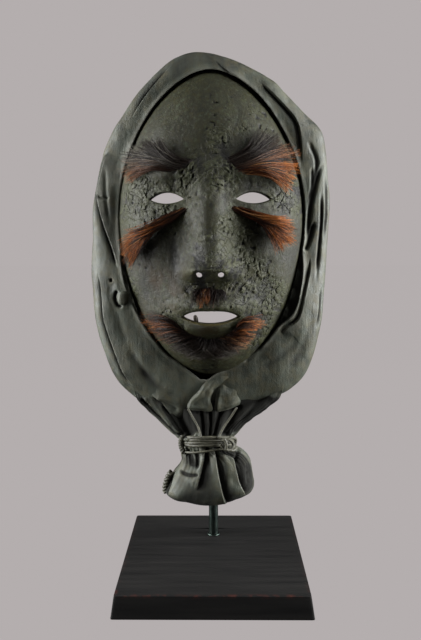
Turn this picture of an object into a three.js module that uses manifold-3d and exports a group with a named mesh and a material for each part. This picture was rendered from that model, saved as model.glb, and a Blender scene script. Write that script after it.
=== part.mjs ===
// A carved face mask in a tied hide hood, carried by a padded metal bracket on the post of a display stand.
// Millimetres, +Z up. The face looks along -Y. The origin is the middle of the stand's underside.
import * as THREE from "three";
import { mergeVertices } from "three/addons/utils/BufferGeometryUtils.js";
import Module from "manifold-3d";

const wasm = await Module();
wasm.setup();

// ---- driving dimensions -------------------------------------------------------------------------------------
const GAP = 0.3; // what two touching pieces keep between them
const FELT_THICKNESS = 0.8;
const BASE_TOP_WIDTH = 145;
const BASE_BOTTOM_WIDTH = 150;
const BASE_TOP_Z = 18;
const POST_Y = 33; // the post stands behind the middle of the base
const POST_R = 4;
const POST_TOP_Z = 194;
const MASK_X = -1; // the mask's own middle
const CHIN_Z = 164;
const FACE_HEIGHT = 246; // hairline to chin, shared out in equal thirds
const FACE_HALF_WIDTH = 75;
const CHIN_TO_CENTRE = 130;
const FACE_CENTRE_Z = CHIN_Z + CHIN_TO_CENTRE; // the widest level of the face
const RIM_Y = 20.5; // the mask's flat back edge
const DOME_DEPTH = 60; // from the rim to the middle of the face, without the nose
const WALL = 9;
const LEAN = 0.04; // the top of the face lies back by this share of its height
const HIDE = 3.2; // thickness of the hood's hide
const WAIST = { x: -4.5, y: 1, z: 112.5 }; // the tie under the chin

const BROW_Z = CHIN_Z + (2 / 3) * FACE_HEIGHT;
const NOSE_BASE_Z = CHIN_Z + FACE_HEIGHT / 3;
const MOUTH_Z = NOSE_BASE_Z - FACE_HEIGHT / 9;
const EYE_Z = BROW_Z - 21;
const EYE_X = 32;
const EYE_SLOT = { halfWidth: 13, halfHeight: 4.6 };
const MOUTH_SLOT = { halfWidth: 21, halfHeight: 5 };

// ---- materials ----------------------------------------------------------------------------------------------
const finish = (color, roughness, metalness = 0) =>
  new THREE.MeshStandardMaterial({ color, roughness, metalness });
const patinatedWood = finish(0x4a4c44, 0.6);
const darkHide = finish(0x4d524f, 0.55);
const thongHide = finish(0x4b4a3c, 0.6);
const redBristle = finish(0x6b3a22, 0.7);
const blackLacquer = finish(0x0d0d0d, 0.35);
const blackFelt = finish(0x161616, 0.95);
const blackenedSteel = finish(0x2a3331, 0.35, 0.9);
const brass = finish(0x9a7b3c, 0.4, 1);
const cork = finish(0x8a6a48, 0.9);
const nylon = finish(0xd8d4c8, 0.5);
const iron = finish(0x35312c, 0.6, 0.9);

const model = new THREE.Group();

function add(name, geometry, material) {
  const mesh = new THREE.Mesh(geometry, material);
  mesh.name = name;
  model.add(mesh);
  return mesh;
}

// ---- solids and booleans ------------------------------------------------------------------------------------
function solidOf(geometry) {
  const bare = geometry.clone();
  bare.deleteAttribute("normal");
  bare.deleteAttribute("uv");
  const merged = mergeVertices(bare, 1e-4);
  return new wasm.Manifold(
    new wasm.Mesh({
      numProp: 3,
      vertProperties: merged.attributes.position.array,
      triVerts: new Uint32Array(merged.index.array),
    }),
  );
}

function geometryOf(solid) {
  const mesh = solid.getMesh();
  return new THREE.BufferGeometry()
    .setAttribute("position", new THREE.BufferAttribute(mesh.vertProperties, 3))
    .setIndex(new THREE.BufferAttribute(mesh.triVerts, 1));
}

const cut = (geometry, ...cutters) =>
  geometryOf(cutters.reduce((left, c) => left.subtract(solidOf(c)), solidOf(geometry)));
const join = (...geometries) =>
  geometryOf(geometries.map(solidOf).reduce((whole, next) => whole.add(next)));

// A closed skin over a row of rings, each with the same even number of points. Each end is closed by a ladder
// of quads between the ring's first half and its second half, unless the row runs round into itself.
function loft(rings, runsRound = false) {
  const n = rings[0].length;
  const positions = rings.flat().flatMap((p) => [p.x, p.y, p.z]);
  const index = [];
  const quad = (a, b, c, d) => index.push(a, b, c, a, c, d);
  const last = runsRound ? rings.length : rings.length - 1;
  for (let i = 0; i < last; i++) {
    const a = i * n;
    const b = ((i + 1) % rings.length) * n;
    for (let j = 0; j < n; j++) {
      const k = (j + 1) % n;
      quad(a + j, a + k, b + k, b + j);
    }
  }
  for (let j = 0; !runsRound && j + 1 < n / 2; j++) {
    const end = last * n;
    quad(n - 1 - j, n - 2 - j, j + 1, j);
    quad(end + j, end + j + 1, end + n - 2 - j, end + n - 1 - j);
  }
  const geometry = new THREE.BufferGeometry()
    .setAttribute("position", new THREE.Float32BufferAttribute(positions, 3))
    .setIndex(index);
  return facingOut(geometry);
}

// Turns every face round if the skin encloses a negative volume.
function facingOut(geometry) {
  const at = geometry.attributes.position;
  const index = geometry.index.array;
  const [a, b, c] = [new THREE.Vector3(), new THREE.Vector3(), new THREE.Vector3()];
  let volume = 0;
  for (let i = 0; i < index.length; i += 3) {
    a.fromBufferAttribute(at, index[i]);
    b.fromBufferAttribute(at, index[i + 1]);
    c.fromBufferAttribute(at, index[i + 2]);
    volume += a.dot(b.cross(c));
  }
  if (volume < 0) {
    for (let i = 0; i < index.length; i += 3) {
      [index[i + 1], index[i + 2]] = [index[i + 2], index[i + 1]];
    }
  }
  return geometry;
}

const cylinder = (radius, z0, z1, x, y, sides = 28) =>
  new THREE.CylinderGeometry(radius, radius, z1 - z0, sides)
    .rotateX(Math.PI / 2)
    .translate(x, y, (z0 + z1) / 2);

const box = (x0, x1, y0, y1, z0, z1) =>
  new THREE.BoxGeometry(x1 - x0, y1 - y0, z1 - z0).translate(
    (x0 + x1) / 2,
    (y0 + y1) / 2,
    (z0 + z1) / 2,
  );

// A prism of an outline in the X-Z plane, from y0 back to y1.
function prismAlongY(shape, y0, y1) {
  return new THREE.ExtrudeGeometry(shape, { depth: y1 - y0, bevelEnabled: false, curveSegments: 10 })
    .rotateX(Math.PI / 2)
    .translate(0, y1, 0);
}

// ---- the carved face ----------------------------------------------------------------------------------------
const bell = (u, w, spreadU, spreadW) => Math.exp(-((u / spreadU) ** 2) - (w / spreadW) ** 2);
const smooth = (edge0, edge1, value) => {
  const t = Math.min(1, Math.max(0, (value - edge0) / (edge1 - edge0)));
  return t * t * (3 - 2 * t);
};

// Distance from the face's middle to its edge in the direction of an angle: an egg, narrower at the chin.
function faceRadius(angle) {
  const up = Math.sin(angle) > 0;
  const height = up ? FACE_HEIGHT - CHIN_TO_CENTRE : CHIN_TO_CENTRE;
  const power = 1.88 - 0.1 * Math.sin(angle);
  const across = (Math.abs(Math.cos(angle)) / FACE_HALF_WIDTH) ** power;
  return (across + (Math.abs(Math.sin(angle)) / height) ** power) ** (-1 / power);
}

// How far the front of the face stands forward of the rim at (u, z), with u measured from its middle line.
function faceDepth(u, z) {
  const angle = Math.atan2(z - FACE_CENTRE_Z, u);
  const share = Math.min(1, Math.hypot(u, z - FACE_CENTRE_Z) / faceRadius(angle));
  const dome = DOME_DEPTH * Math.sqrt(Math.max(0, 1 - share ** 2.4));
  const side = Math.abs(u);
  const along = Math.min(1, Math.max(0, (BROW_Z - 8 - z) / (BROW_Z - 8 - NOSE_BASE_Z - 9)));
  const noseWidth = 11 + 5 * along;
  const ridge = (4 + 18 * along ** 1.15) * Math.exp(-((side / noseWidth) ** 2.4));
  const nose = ridge * smooth(NOSE_BASE_Z - 2, NOSE_BASE_Z + 9, z) * smooth(BROW_Z + 14, BROW_Z - 12, z);
  const wings = 7 * bell(side - 13, z - NOSE_BASE_Z - 8, 6.5, 7.5);
  const brow = 5 * bell(side - 32, z - BROW_Z + 0.1 * side - 1, 30, 8);
  const socket = -8 * bell(side - EYE_X, z - EYE_Z - 1, 19, 12);
  const lids = 7 * bell(side - EYE_X, z - EYE_Z, 14, 8);
  const cheekbone = 4 * bell(side - 45, z - EYE_Z + 32, 20, 17);
  const hollow = -4 * bell(side - 43, z - MOUTH_Z - 14, 17, 22);
  const muzzle = 7 * bell(u, z - MOUTH_Z - 4, 32, 22);
  const lips = 3.4 * (bell(u, z - MOUTH_Z - 8.5, 23, 4) + bell(u, z - MOUTH_Z + 8.5, 20, 4.4));
  const chin = 8 * bell(u, z - CHIN_Z - 19, 22, 14);
  const crease = -3 * bell(u, z - CHIN_Z - 36, 24, 5);
  const relief = nose + wings + brow + socket + lids + cheekbone + hollow + muzzle + lips + chin + crease;
  return dome + relief * (1 - share ** 8);
}

const leanAt = (z) => LEAN * (z - FACE_CENTRE_Z);
const faceY = (x, z) => {
  const depth = faceDepth(x - MASK_X, z);
  return RIM_Y - depth + leanAt(z) * Math.min(1, depth / 20);
};

// The hollow behind the face follows it loosely: it bulges behind the nose and the mouth, without their detail.
function innerFaceY(x, z, share) {
  const u = x - MASK_X;
  const dome = (DOME_DEPTH - WALL) * Math.sqrt(Math.max(0, 1 - share ** 2.4));
  const bulge = 8 * bell(u, z - MOUTH_Z - 4, 34, 24) + 8 * bell(u, z - NOSE_BASE_Z - 16, 13, 30);
  const thinnest = 4.5;
  const depth = Math.max(0, Math.min(dome + bulge * (1 - share ** 4), faceDepth(u, z) - thinnest));
  return RIM_Y - depth + leanAt(z) * Math.min(1, depth / 20);
}

function faceShell() {
  const around = 56;
  const outward = 14;
  // The rings lie closer together towards the rim, where the wall turns back.
  const ringShare = (k) => Math.sin((Math.PI / 2) * (k / outward)) ** 0.9;
  const ring = (k, inner) =>
    Array.from({ length: around }, (_, j) => {
      const angle = (2 * Math.PI * j) / around;
      const edge = faceRadius(angle) - (inner ? WALL : 0);
      const r = ringShare(k) * edge;
      const x = MASK_X + r * Math.cos(angle);
      const z = FACE_CENTRE_Z + r * Math.sin(angle);
      if (!inner) return new THREE.Vector3(x, faceY(x, z), z);
      return new THREE.Vector3(x, innerFaceY(x, z, ringShare(k)), z);
    });
  const front = Array.from({ length: outward }, (_, k) => ring(k + 1, false));
  const back = Array.from({ length: outward }, (_, k) => ring(k + 1, true)).reverse();
  const shell = loft([...front, ...back]);
  const eyeSlot = (side) => {
    const { halfWidth: w, halfHeight: h } = EYE_SLOT;
    const cx = MASK_X + side * EYE_X;
    const shape = new THREE.Shape();
    shape.moveTo(cx - w, EYE_Z - 1);
    shape.quadraticCurveTo(cx, EYE_Z + 2 * h, cx + w, EYE_Z - 1);
    shape.quadraticCurveTo(cx, EYE_Z - 1.6 * h, cx - w, EYE_Z - 1);
    return prismAlongY(shape, -90, 30);
  };
  const { halfWidth: w, halfHeight: h } = MOUTH_SLOT;
  const mouth = new THREE.Shape();
  mouth.moveTo(MASK_X - w, MOUTH_Z);
  mouth.quadraticCurveTo(MASK_X - w * 0.7, MOUTH_Z + h, MASK_X - 5, MOUTH_Z + h);
  mouth.lineTo(MASK_X + 5, MOUTH_Z + h);
  mouth.quadraticCurveTo(MASK_X + w * 0.7, MOUTH_Z + h, MASK_X + w, MOUTH_Z);
  mouth.quadraticCurveTo(MASK_X + w * 0.6, MOUTH_Z - h, MASK_X, MOUTH_Z - h);
  mouth.quadraticCurveTo(MASK_X - w * 0.6, MOUTH_Z - h, MASK_X - w, MOUTH_Z);
  const nostril = (side) =>
    new THREE.CylinderGeometry(2.4, 2.4, 60, 12).translate(MASK_X + side * 8, -38, NOSE_BASE_Z + 5);
  return cut(
    shell,
    eyeSlot(-1),
    eyeSlot(1),
    prismAlongY(mouth, -90, 30),
    nostril(-1),
    nostril(1),
  );
}

// ---- the hide hood ------------------------------------------------------------------------------------------
// Outer edge of the hood seen from the front, as (x, z), from the neck's right side up over the crown and down
// to its left side. It is not quite even: the peak stands left of the middle.
const HOOD_EDGE = [
  [17, 125], [36, 133], [55, 148], [70, 162], [81, 187], [88, 220], [91, 262], [93, 300], [89, 338],
  [82, 361], [67, 376], [43, 401], [12, 415], [-10, 419], [-26, 415], [-40, 405], [-57, 390], [-73, 368],
  [-86, 343], [-92, 315], [-95, 282], [-96, 250], [-93, 212], [-87, 187], [-77, 163], [-60, 144],
  [-40, 130], [-26, 125],
];
const hoodOutline = new THREE.CatmullRomCurve3(
  HOOD_EDGE.map(([x, z]) => new THREE.Vector3(x, 0, z)),
  true,
  "centripetal",
).getPoints(240);

// Distance from the face's middle to the hood's outer edge in the direction of an angle.
function hoodRadius(angle) {
  const dx = Math.cos(angle);
  const dz = Math.sin(angle);
  for (let i = 0; i + 1 < hoodOutline.length; i++) {
    const ax = hoodOutline[i].x - MASK_X;
    const az = hoodOutline[i].z - FACE_CENTRE_Z;
    const ex = hoodOutline[i + 1].x - MASK_X - ax;
    const ez = hoodOutline[i + 1].z - FACE_CENTRE_Z - az;
    const across = dx * ez - dz * ex;
    const t = (ax * ez - az * ex) / across;
    const s = (ax * dz - az * dx) / across;
    if (across && t > 0 && s >= 0 && s <= 1) return t;
  }
  throw new Error("the hood's outline doesn't go round the face");
}

const FACE_GAP = 0.8; // between the carved face and the hood's front lip
const REAR_FOLD = 7; // how far the hide is turned in over the mask's back rim
const HOOD_MIDDLE_Y = 12;
const HOOD_BACK_Y = RIM_Y + 0.8 + HIDE;
const lowness = (angle) => smooth(-0.1, -0.9, Math.sin(angle));
const lipY = (angle) => 2 - 7 * lowness(angle);

// A point on the hood at an angle round the face. share runs from -1 at the front lip, over 0 at the outer
// edge, to 1 at the fold behind the rim; depth is how far the point lies under the outer face.
function hoodPoint(angle, share, depth) {
  const turn = (Math.PI / 2) * Math.abs(share);
  const outer = hoodRadius(angle) - depth;
  const front = share < 0;
  const inner = faceRadius(angle) + (front ? FACE_GAP : -REAR_FOLD);
  const y = front ? lipY(angle) + depth : HOOD_BACK_Y - depth;
  const squareness = front ? 0.8 : 0.4;
  const r = inner + (outer - inner) * Math.cos(turn) ** squareness;
  return new THREE.Vector3(
    MASK_X + r * Math.cos(angle),
    HOOD_MIDDLE_Y + (y - HOOD_MIDDLE_Y) * Math.sin(turn) ** squareness,
    FACE_CENTRE_Z + r * Math.sin(angle),
  );
}

function hoodShell() {
  const around = 52;
  const across = 5;
  const shares = Array.from({ length: 2 * across + 1 }, (_, i) => (i - across) / across);
  const rings = Array.from({ length: around }, (_, i) => {
    const angle = -Math.PI / 2 + (2 * Math.PI * i) / around;
    return [
      ...shares.map((s) => hoodPoint(angle, s, 0)),
      ...shares.map((s) => hoodPoint(angle, -s, HIDE)),
    ];
  });
  return loft(rings, true);
}

// Iron nails hold the rear fold of the hood to the mask's rim.
const NAIL_ANGLES = [22, 56, 90, 124, 158, 205, 335].map(THREE.MathUtils.degToRad);
const NAIL_FROM_EDGE = 4;
const NAIL = { radius: 0.9, headRadius: 2.6, headHeight: 0.9, intoRim: 8 };
function alongY(radius, y0, y1, angle) {
  const r = faceRadius(angle) - NAIL_FROM_EDGE;
  return new THREE.CylinderGeometry(radius, radius, y1 - y0, 12).translate(
    MASK_X + r * Math.cos(angle),
    (y0 + y1) / 2,
    FACE_CENTRE_Z + r * Math.sin(angle),
  );
}
const nailHole = (angle) => alongY(NAIL.radius + GAP, RIM_Y - NAIL.intoRim - GAP, HOOD_BACK_Y + 2, angle);
add("face_shell", cut(faceShell(), ...NAIL_ANGLES.map(nailHole)), patinatedWood);
add("hood_shell", cut(hoodShell(), ...NAIL_ANGLES.map(nailHole)), darkHide);
NAIL_ANGLES.forEach((angle, i) => {
  const headY = HOOD_BACK_Y + GAP;
  add(
    `hood_nail_${i + 1}`,
    join(
      alongY(NAIL.headRadius, headY, headY + NAIL.headHeight, angle),
      alongY(NAIL.radius, RIM_Y - NAIL.intoRim, headY + 0.1, angle),
    ),
    iron,
  );
});

// A band of hide that lies on the hood's front between two angles, reaching out from one share of the hood's
// front to another, and lifted off it.
function band({ fromAngle, toAngle, inner, outer, lift, thickness, steps }) {
  const across = 5;
  const rings = Array.from({ length: steps + 1 }, (_, i) => {
    const t = i / steps;
    const angle = THREE.MathUtils.degToRad(fromAngle + (toAngle - fromAngle) * t);
    const taper = 0.25 + 0.75 * Math.sin(Math.PI * Math.min(1, t + 0.12)) ** 0.6;
    const row = Array.from({ length: across + 1 }, (_, k) => inner + ((outer - inner) * taper * k) / across);
    const lifted = (share, by) => {
      const p = hoodPoint(angle, share, 0);
      p.y -= by;
      return p;
    };
    return [
      ...row.map((share) => lifted(share, lift + thickness)),
      ...row.reverse().map((share) => lifted(share, lift)),
    ];
  });
  return loft(rings);
}

// The hood's two front edges are drawn down and cross below the chin, right over left. Their ends fold out
// below the crossing as two flaps.
const WRAP = { inner: -0.97, lift: 0.7, steps: 16 };
const FLAP = { inner: -0.6, outer: -0.08, lift: 4.4, thickness: 2.2, steps: 6 };
const BANDS = {
  wrap_right: { ...WRAP, fromAngle: -18, toAngle: -101, outer: -0.35, thickness: 3 },
  wrap_left: { ...WRAP, fromAngle: -172, toAngle: -103, outer: -0.4, thickness: 2.4 },
  throat_flap_right: { ...FLAP, fromAngle: -72, toAngle: -88 },
  throat_flap_left: { ...FLAP, fromAngle: -112, toAngle: -92 },
};
for (const [name, shape] of Object.entries(BANDS)) add(name, band(shape), darkHide);

// ---- the gathered tail, the tie and the trim ----------------------------------------------------------------
// Upright oval sections, from the top of the gathers, through the waist under the tie, to the flared hem.
function ovalLoft(sections, sides, pleats, pleatDepth) {
  return loft(
    sections.map(({ x = WAIST.x, y = WAIST.y, z, rx, ry }) =>
      Array.from({ length: sides }, (_, j) => {
        const angle = (2 * Math.PI * j) / sides;
        const fold = 1 - pleatDepth * (0.5 + 0.5 * Math.cos(pleats * angle));
        return new THREE.Vector3(x + rx * fold * Math.cos(angle), y + ry * fold * Math.sin(angle), z);
      }),
    ),
  );
}
const WAIST_RX = 18.5;
const WAIST_RY = 15;
add(
  "hood_tail",
  ovalLoft(
    [
      { z: 60.5, rx: 17, ry: 12, x: -5 },
      { z: 63.5, rx: 27, ry: 18, x: -5 },
      { z: 70, rx: 33.5, ry: 22.5, x: -4 },
      { z: 78, rx: 35.5, ry: 23.5, x: -3 },
      { z: 88, rx: 33.5, ry: 22.5, x: -1 },
      { z: 96, rx: 28, ry: 20, x: 1 },
      { z: 103, rx: 20, ry: 16, x: -2 },
      { z: 106, rx: WAIST_RX, ry: WAIST_RY },
      { z: 115, rx: WAIST_RX, ry: WAIST_RY },
      { z: 121.5, rx: 19, ry: 14 },
    ],
    36,
    9,
    0.06,
  ),
  darkHide,
);

const THONG = 3;
function tieThong() {
  const band = (rx, ry) =>
    Array.from({ length: 32 }, (_, j) => {
      const angle = (2 * Math.PI * j) / 32;
      return [WAIST.x + rx * Math.cos(angle), WAIST.y + ry * Math.sin(angle)];
    });
  const inner = band(WAIST_RX + GAP, WAIST_RY + GAP);
  const outer = band(WAIST_RX + GAP + THONG, WAIST_RY + GAP + THONG);
  const halfHeight = 4.6;
  const frontRise = 2.2; // the thong sits higher in front than behind
  const rings = inner.map(([ix, iy], j) => {
    const [ox, oy] = outer[j];
    const z = WAIST.z - frontRise * Math.sin((2 * Math.PI * j) / 32);
    return [
      new THREE.Vector3(ix, iy, z - halfHeight),
      new THREE.Vector3(ox, oy, z - halfHeight * 0.7),
      new THREE.Vector3(ox, oy, z + halfHeight * 0.7),
      new THREE.Vector3(ix, iy, z + halfHeight),
    ];
  });
  return loft(rings, true);
}
add("tie_thong", tieThong(), thongHide);

const lump = (rx, ry, rz, x, y, z) => new THREE.SphereGeometry(1, 12, 7).scale(rx, ry, rz).translate(x, y, z);
add("tie_knot", lump(4.6, 3.4, 4.8, 11.2, -18, WAIST.z - 1), thongHide);

// A knotted lace runs down the left edge of the tail.
const LACE_KNOTS = [
  [-39.2, 84.4, 3.2],
  [-41.2, 79.8, 3.1],
  [-41.4, 75.2, 3],
  [-40.6, 70.8, 2.9],
];
add("lace_knots", join(...LACE_KNOTS.map(([x, z, r]) => lump(r, r, r, x, -2, z))), thongHide);

// A stub of thong pulled out through a slit in the hood.
add(
  "hood_toggle",
  new THREE.CapsuleGeometry(4, 5, 3, 10)
    .scale(1, 0.6, 1)
    .rotateX(Math.PI / 2)
    .rotateY(-0.25)
    .translate(-72.5, -10.5, 231),
  thongHide,
);

// ---- the bristle tufts --------------------------------------------------------------------------------------
// A flat brush of bristles from a root line to a tip line, both in (x, z) beside the face's middle line. It
// leaves the wood at the roots and lifts off it towards the tips.
const OFF_WOOD = 2.4;
function tuft({ roots, tips, rise, thickness, bulge = 0 }) {
  const along = 7;
  const across = 5;
  const rings = Array.from({ length: along + 1 }, (_, j) => {
    const t = j / along;
    const row = Array.from({ length: across + 1 }, (_, k) => {
      const s = k / across;
      const lerp = (line, axis) => line[0][axis] + (line[1][axis] - line[0][axis]) * s;
      const swell = bulge * Math.sin(Math.PI * t) * (2 * s - 1);
      const x = MASK_X + lerp(roots, 0) + (lerp(tips, 0) - lerp(roots, 0)) * t;
      const z = lerp(roots, 1) + (lerp(tips, 1) - lerp(roots, 1)) * t - swell;
      const body = thickness * (0.35 + 0.65 * Math.sin(Math.PI * Math.min(0.8, t + 0.15)));
      return { x, z, y: faceY(x, z) - OFF_WOOD - rise * t ** 1.5, body: body * (0.5 + 2 * s * (1 - s)) };
    });
    return [
      ...row.map((p) => new THREE.Vector3(p.x, p.y - p.body, p.z)),
      ...row.reverse().map((p) => new THREE.Vector3(p.x, p.y, p.z)),
    ];
  });
  return loft(rings);
}
const mirrored = (line) => line.map(([u, z]) => [-u, z]);
const brow = {
  roots: [[17, BROW_Z + 4], [30, BROW_Z - 4]],
  tips: [[48, BROW_Z + 27], [66, BROW_Z - 12]],
  rise: 5,
  thickness: 4,
  bulge: 5,
};
const cheekTuft = {
  roots: [[16, EYE_Z - 9], [36, EYE_Z - 12]],
  tips: [[60, EYE_Z - 17], [47, EYE_Z - 42]],
  rise: 9,
  thickness: 4,
  bulge: 3,
};
const beard = {
  roots: [[1, MOUTH_Z - 16], [15, MOUTH_Z - 13]],
  tips: [[2, MOUTH_Z - 44], [49, MOUTH_Z - 8]],
  rise: 4,
  thickness: 4,
  bulge: 6,
};
const moustache = {
  roots: [[-13, NOSE_BASE_Z - 9], [13, NOSE_BASE_Z - 9]],
  tips: [[-17, MOUTH_Z + 11], [17, MOUTH_Z + 11]],
  rise: 2,
  thickness: 2.6,
};
for (const [name, shape] of [["brow", brow], ["cheek_tuft", cheekTuft], ["beard", beard]]) {
  add(`${name}_right`, tuft(shape), redBristle);
  const left = { ...shape, roots: mirrored(shape.roots), tips: mirrored(shape.tips) };
  add(`${name}_left`, tuft(left), redBristle);
}
add("moustache", tuft(moustache), redBristle);

// ---- the stand ----------------------------------------------------------------------------------------------
const SCREW_R = 2;
const SCREW_HEAD_R = 5;
const WASHER_R = 6.5;
const POST_FOOT_Z = 9;
const COUNTERBORE_Z = 7;

const plateDepth = BASE_TOP_Z - FELT_THICKNESS;
const basePlate = new THREE.CylinderGeometry(
  BASE_TOP_WIDTH / Math.SQRT2,
  BASE_BOTTOM_WIDTH / Math.SQRT2,
  plateDepth,
  4,
)
  .rotateY(Math.PI / 4)
  .rotateX(Math.PI / 2)
  .translate(0, 0, FELT_THICKNESS + plateDepth / 2);
add(
  "base_plate",
  cut(
    basePlate,
    cylinder(POST_R + GAP, POST_FOOT_Z, BASE_TOP_Z + 1, 0, POST_Y),
    cylinder(WASHER_R + GAP, 0, COUNTERBORE_Z, 0, POST_Y),
    cylinder(SCREW_R + GAP, 0, BASE_TOP_Z, 0, POST_Y),
  ),
  blackLacquer,
);
const feltHalf = BASE_BOTTOM_WIDTH / 2 - 3;
add("base_felt", box(-feltHalf, feltHalf, -feltHalf, feltHalf, 0, FELT_THICKNESS), blackFelt);

add(
  "post_washer",
  cut(
    cylinder(WASHER_R, COUNTERBORE_Z - 1.3, COUNTERBORE_Z, 0, POST_Y),
    cylinder(SCREW_R + GAP, 0, COUNTERBORE_Z + 1, 0, POST_Y),
  ),
  iron,
);
add(
  "post_screw",
  join(
    cylinder(SCREW_HEAD_R, COUNTERBORE_Z - 4.2, COUNTERBORE_Z - 1.3, 0, POST_Y, 24),
    cylinder(SCREW_R, COUNTERBORE_Z - 1.5, POST_FOOT_Z + 14, 0, POST_Y, 24),
  ),
  iron,
);
add(
  "post",
  cut(
    cylinder(POST_R, POST_FOOT_Z, POST_TOP_Z, 0, POST_Y),
    cylinder(SCREW_R + GAP, 0, POST_FOOT_Z + 16, 0, POST_Y),
  ),
  blackenedSteel,
);
const profile = (points) =>
  new THREE.LatheGeometry(
    [...points, points[0]].map(([r, z]) => new THREE.Vector2(r, z)),
    28,
  ).rotateX(Math.PI / 2);
add(
  "post_collar",
  profile([
    [POST_R + GAP, BASE_TOP_Z],
    [5.6, BASE_TOP_Z],
    [5.4, BASE_TOP_Z + 0.8],
    [4.7, BASE_TOP_Z + 1.2],
    [POST_R + GAP, BASE_TOP_Z + 1.2],
  ]).translate(0, POST_Y, 0),
  blackenedSteel,
);

// ---- the bracket that holds the mask on the post ------------------------------------------------------------
// A nylon thimble sits on the post's end. The bracket's socket stands on its flange and turns on it.
const BUSH_FOOT_Z = 148;
const BUSH_FLANGE = 2;
const BUSH_BORE_R = POST_R + GAP;
const BUSH_R = BUSH_BORE_R + 1.2;
const SOCKET_BORE_R = BUSH_R + GAP;
const SOCKET_R = SOCKET_BORE_R + 1.4;
const BUSH_TOP_Z = POST_TOP_Z + 2;
const SOCKET_TOP_Z = BUSH_TOP_Z + 3;
const SOCKET_FOOT_Z = BUSH_FOOT_Z + BUSH_FLANGE;
add(
  "post_bush",
  profile([
    [0, POST_TOP_Z],
    [BUSH_BORE_R, POST_TOP_Z],
    [BUSH_BORE_R, BUSH_FOOT_Z],
    [SOCKET_R, BUSH_FOOT_Z],
    [SOCKET_R, SOCKET_FOOT_Z],
    [BUSH_R, SOCKET_FOOT_Z],
    [BUSH_R, BUSH_TOP_Z],
    [0, BUSH_TOP_Z],
  ]).translate(0, POST_Y, 0),
  nylon,
);

// The grip screw's tip bears on the bush, so its drag sets how freely the mask turns.
const GRIP_Z = 168;
const GRIP = { radius: 1.6, headRadius: 4.2, headLength: 4, neck: 3 };
const gripAxis = (radius, y0, y1) =>
  new THREE.CylinderGeometry(radius, radius, y1 - y0, 20).translate(0, POST_Y + (y0 + y1) / 2, GRIP_Z);
add(
  "bracket_socket",
  cut(
    cylinder(SOCKET_R, SOCKET_FOOT_Z, SOCKET_TOP_Z, 0, POST_Y),
    cylinder(SOCKET_BORE_R, SOCKET_FOOT_Z - 1, BUSH_TOP_Z + GAP, 0, POST_Y),
    gripAxis(GRIP.radius + GAP, 0, SOCKET_R + 1),
  ),
  brass,
);
add(
  "grip_screw",
  join(
    gripAxis(GRIP.radius, BUSH_R + GAP, SOCKET_R + GRIP.neck),
    gripAxis(GRIP.headRadius, SOCKET_R + GRIP.neck - 1, SOCKET_R + GRIP.neck + GRIP.headLength),
  ),
  brass,
);

// A round rod bent along a smooth curve through the points given.
function bentRod(radius, points, sides = 8, stepsPerPoint = 2) {
  const section = new THREE.Shape().absarc(0, 0, radius, 0, 2 * Math.PI);
  const route = new THREE.CatmullRomCurve3(points.map((p) => new THREE.Vector3(...p)), false, "centripetal");
  return new THREE.ExtrudeGeometry(section, {
    steps: points.length * stepsPerPoint,
    curveSegments: sides / 2,
    bevelEnabled: false,
    extrudePath: route,
  });
}
const ROD_R = 2.5;
const HOOK_R = 1.4;
const YOKE_Y = POST_Y - SOCKET_R - ROD_R - GAP;
const YOKE_Z = 189;
// One arm of the yoke, from the socket out to the pad inside the cheek; side is -1 or 1.
const yokeArm = (side) => [
  [side * 26, YOKE_Y, YOKE_Z + 2],
  [side * 36, YOKE_Y - 1, YOKE_Z + 9],
  [side * 41, YOKE_Y - 2, YOKE_Z + 22],
  [side * 45, YOKE_Y - 5, YOKE_Z + 44],
  [side * 48, YOKE_Y - 10, YOKE_Z + 62],
  [side * 50, YOKE_Y - 17, YOKE_Z + 74],
];
add(
  "bracket_yoke",
  bentRod(ROD_R, [...yokeArm(-1).reverse(), [0, YOKE_Y, YOKE_Z], ...yokeArm(1)]),
  brass,
);
const PAD_R = 5.5;
for (const [name, side] of [["left", -1], ["right", 1]]) {
  const tip = yokeArm(side).at(-1);
  const pad = new THREE.SphereGeometry(PAD_R, 12, 8).translate(tip[0] + side * 1, tip[1] - 3, tip[2] + 2);
  add(`pad_${name}`, cut(pad, bentRod(ROD_R + GAP, yokeArm(side))), cork);
}
// The hook rises from the yoke through the mouth slot and turns up over the lower lip.
const HOOK_X = -12;
const HOOK_FOOT_Y = YOKE_Y - ROD_R - HOOK_R - GAP;
const HOOK_Z = MOUTH_Z - 1.5;
add(
  "mouth_hook",
  bentRod(
    HOOK_R,
    [
      [HOOK_X, HOOK_FOOT_Y, YOKE_Z - 5],
      [HOOK_X, HOOK_FOOT_Y, YOKE_Z + 6],
      [HOOK_X, 6, HOOK_Z - 14],
      [HOOK_X, -12, HOOK_Z - 7],
      [HOOK_X, -26, HOOK_Z - 0.6],
      [HOOK_X, -40, HOOK_Z],
      [HOOK_X, -44.5, HOOK_Z + 2],
      [HOOK_X, -45.6, HOOK_Z + 4],
    ],
  ),
  brass,
);

export default model;
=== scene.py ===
"""A carved wooden mask in a tied hide hood, on a brass bracket, a steel post and a lacquered plate.

Lengths are in millimetres until a mesh is made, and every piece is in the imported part's own frame.
"""

import math

import bpy
import numpy as np
from mathutils import Matrix, Vector


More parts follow.
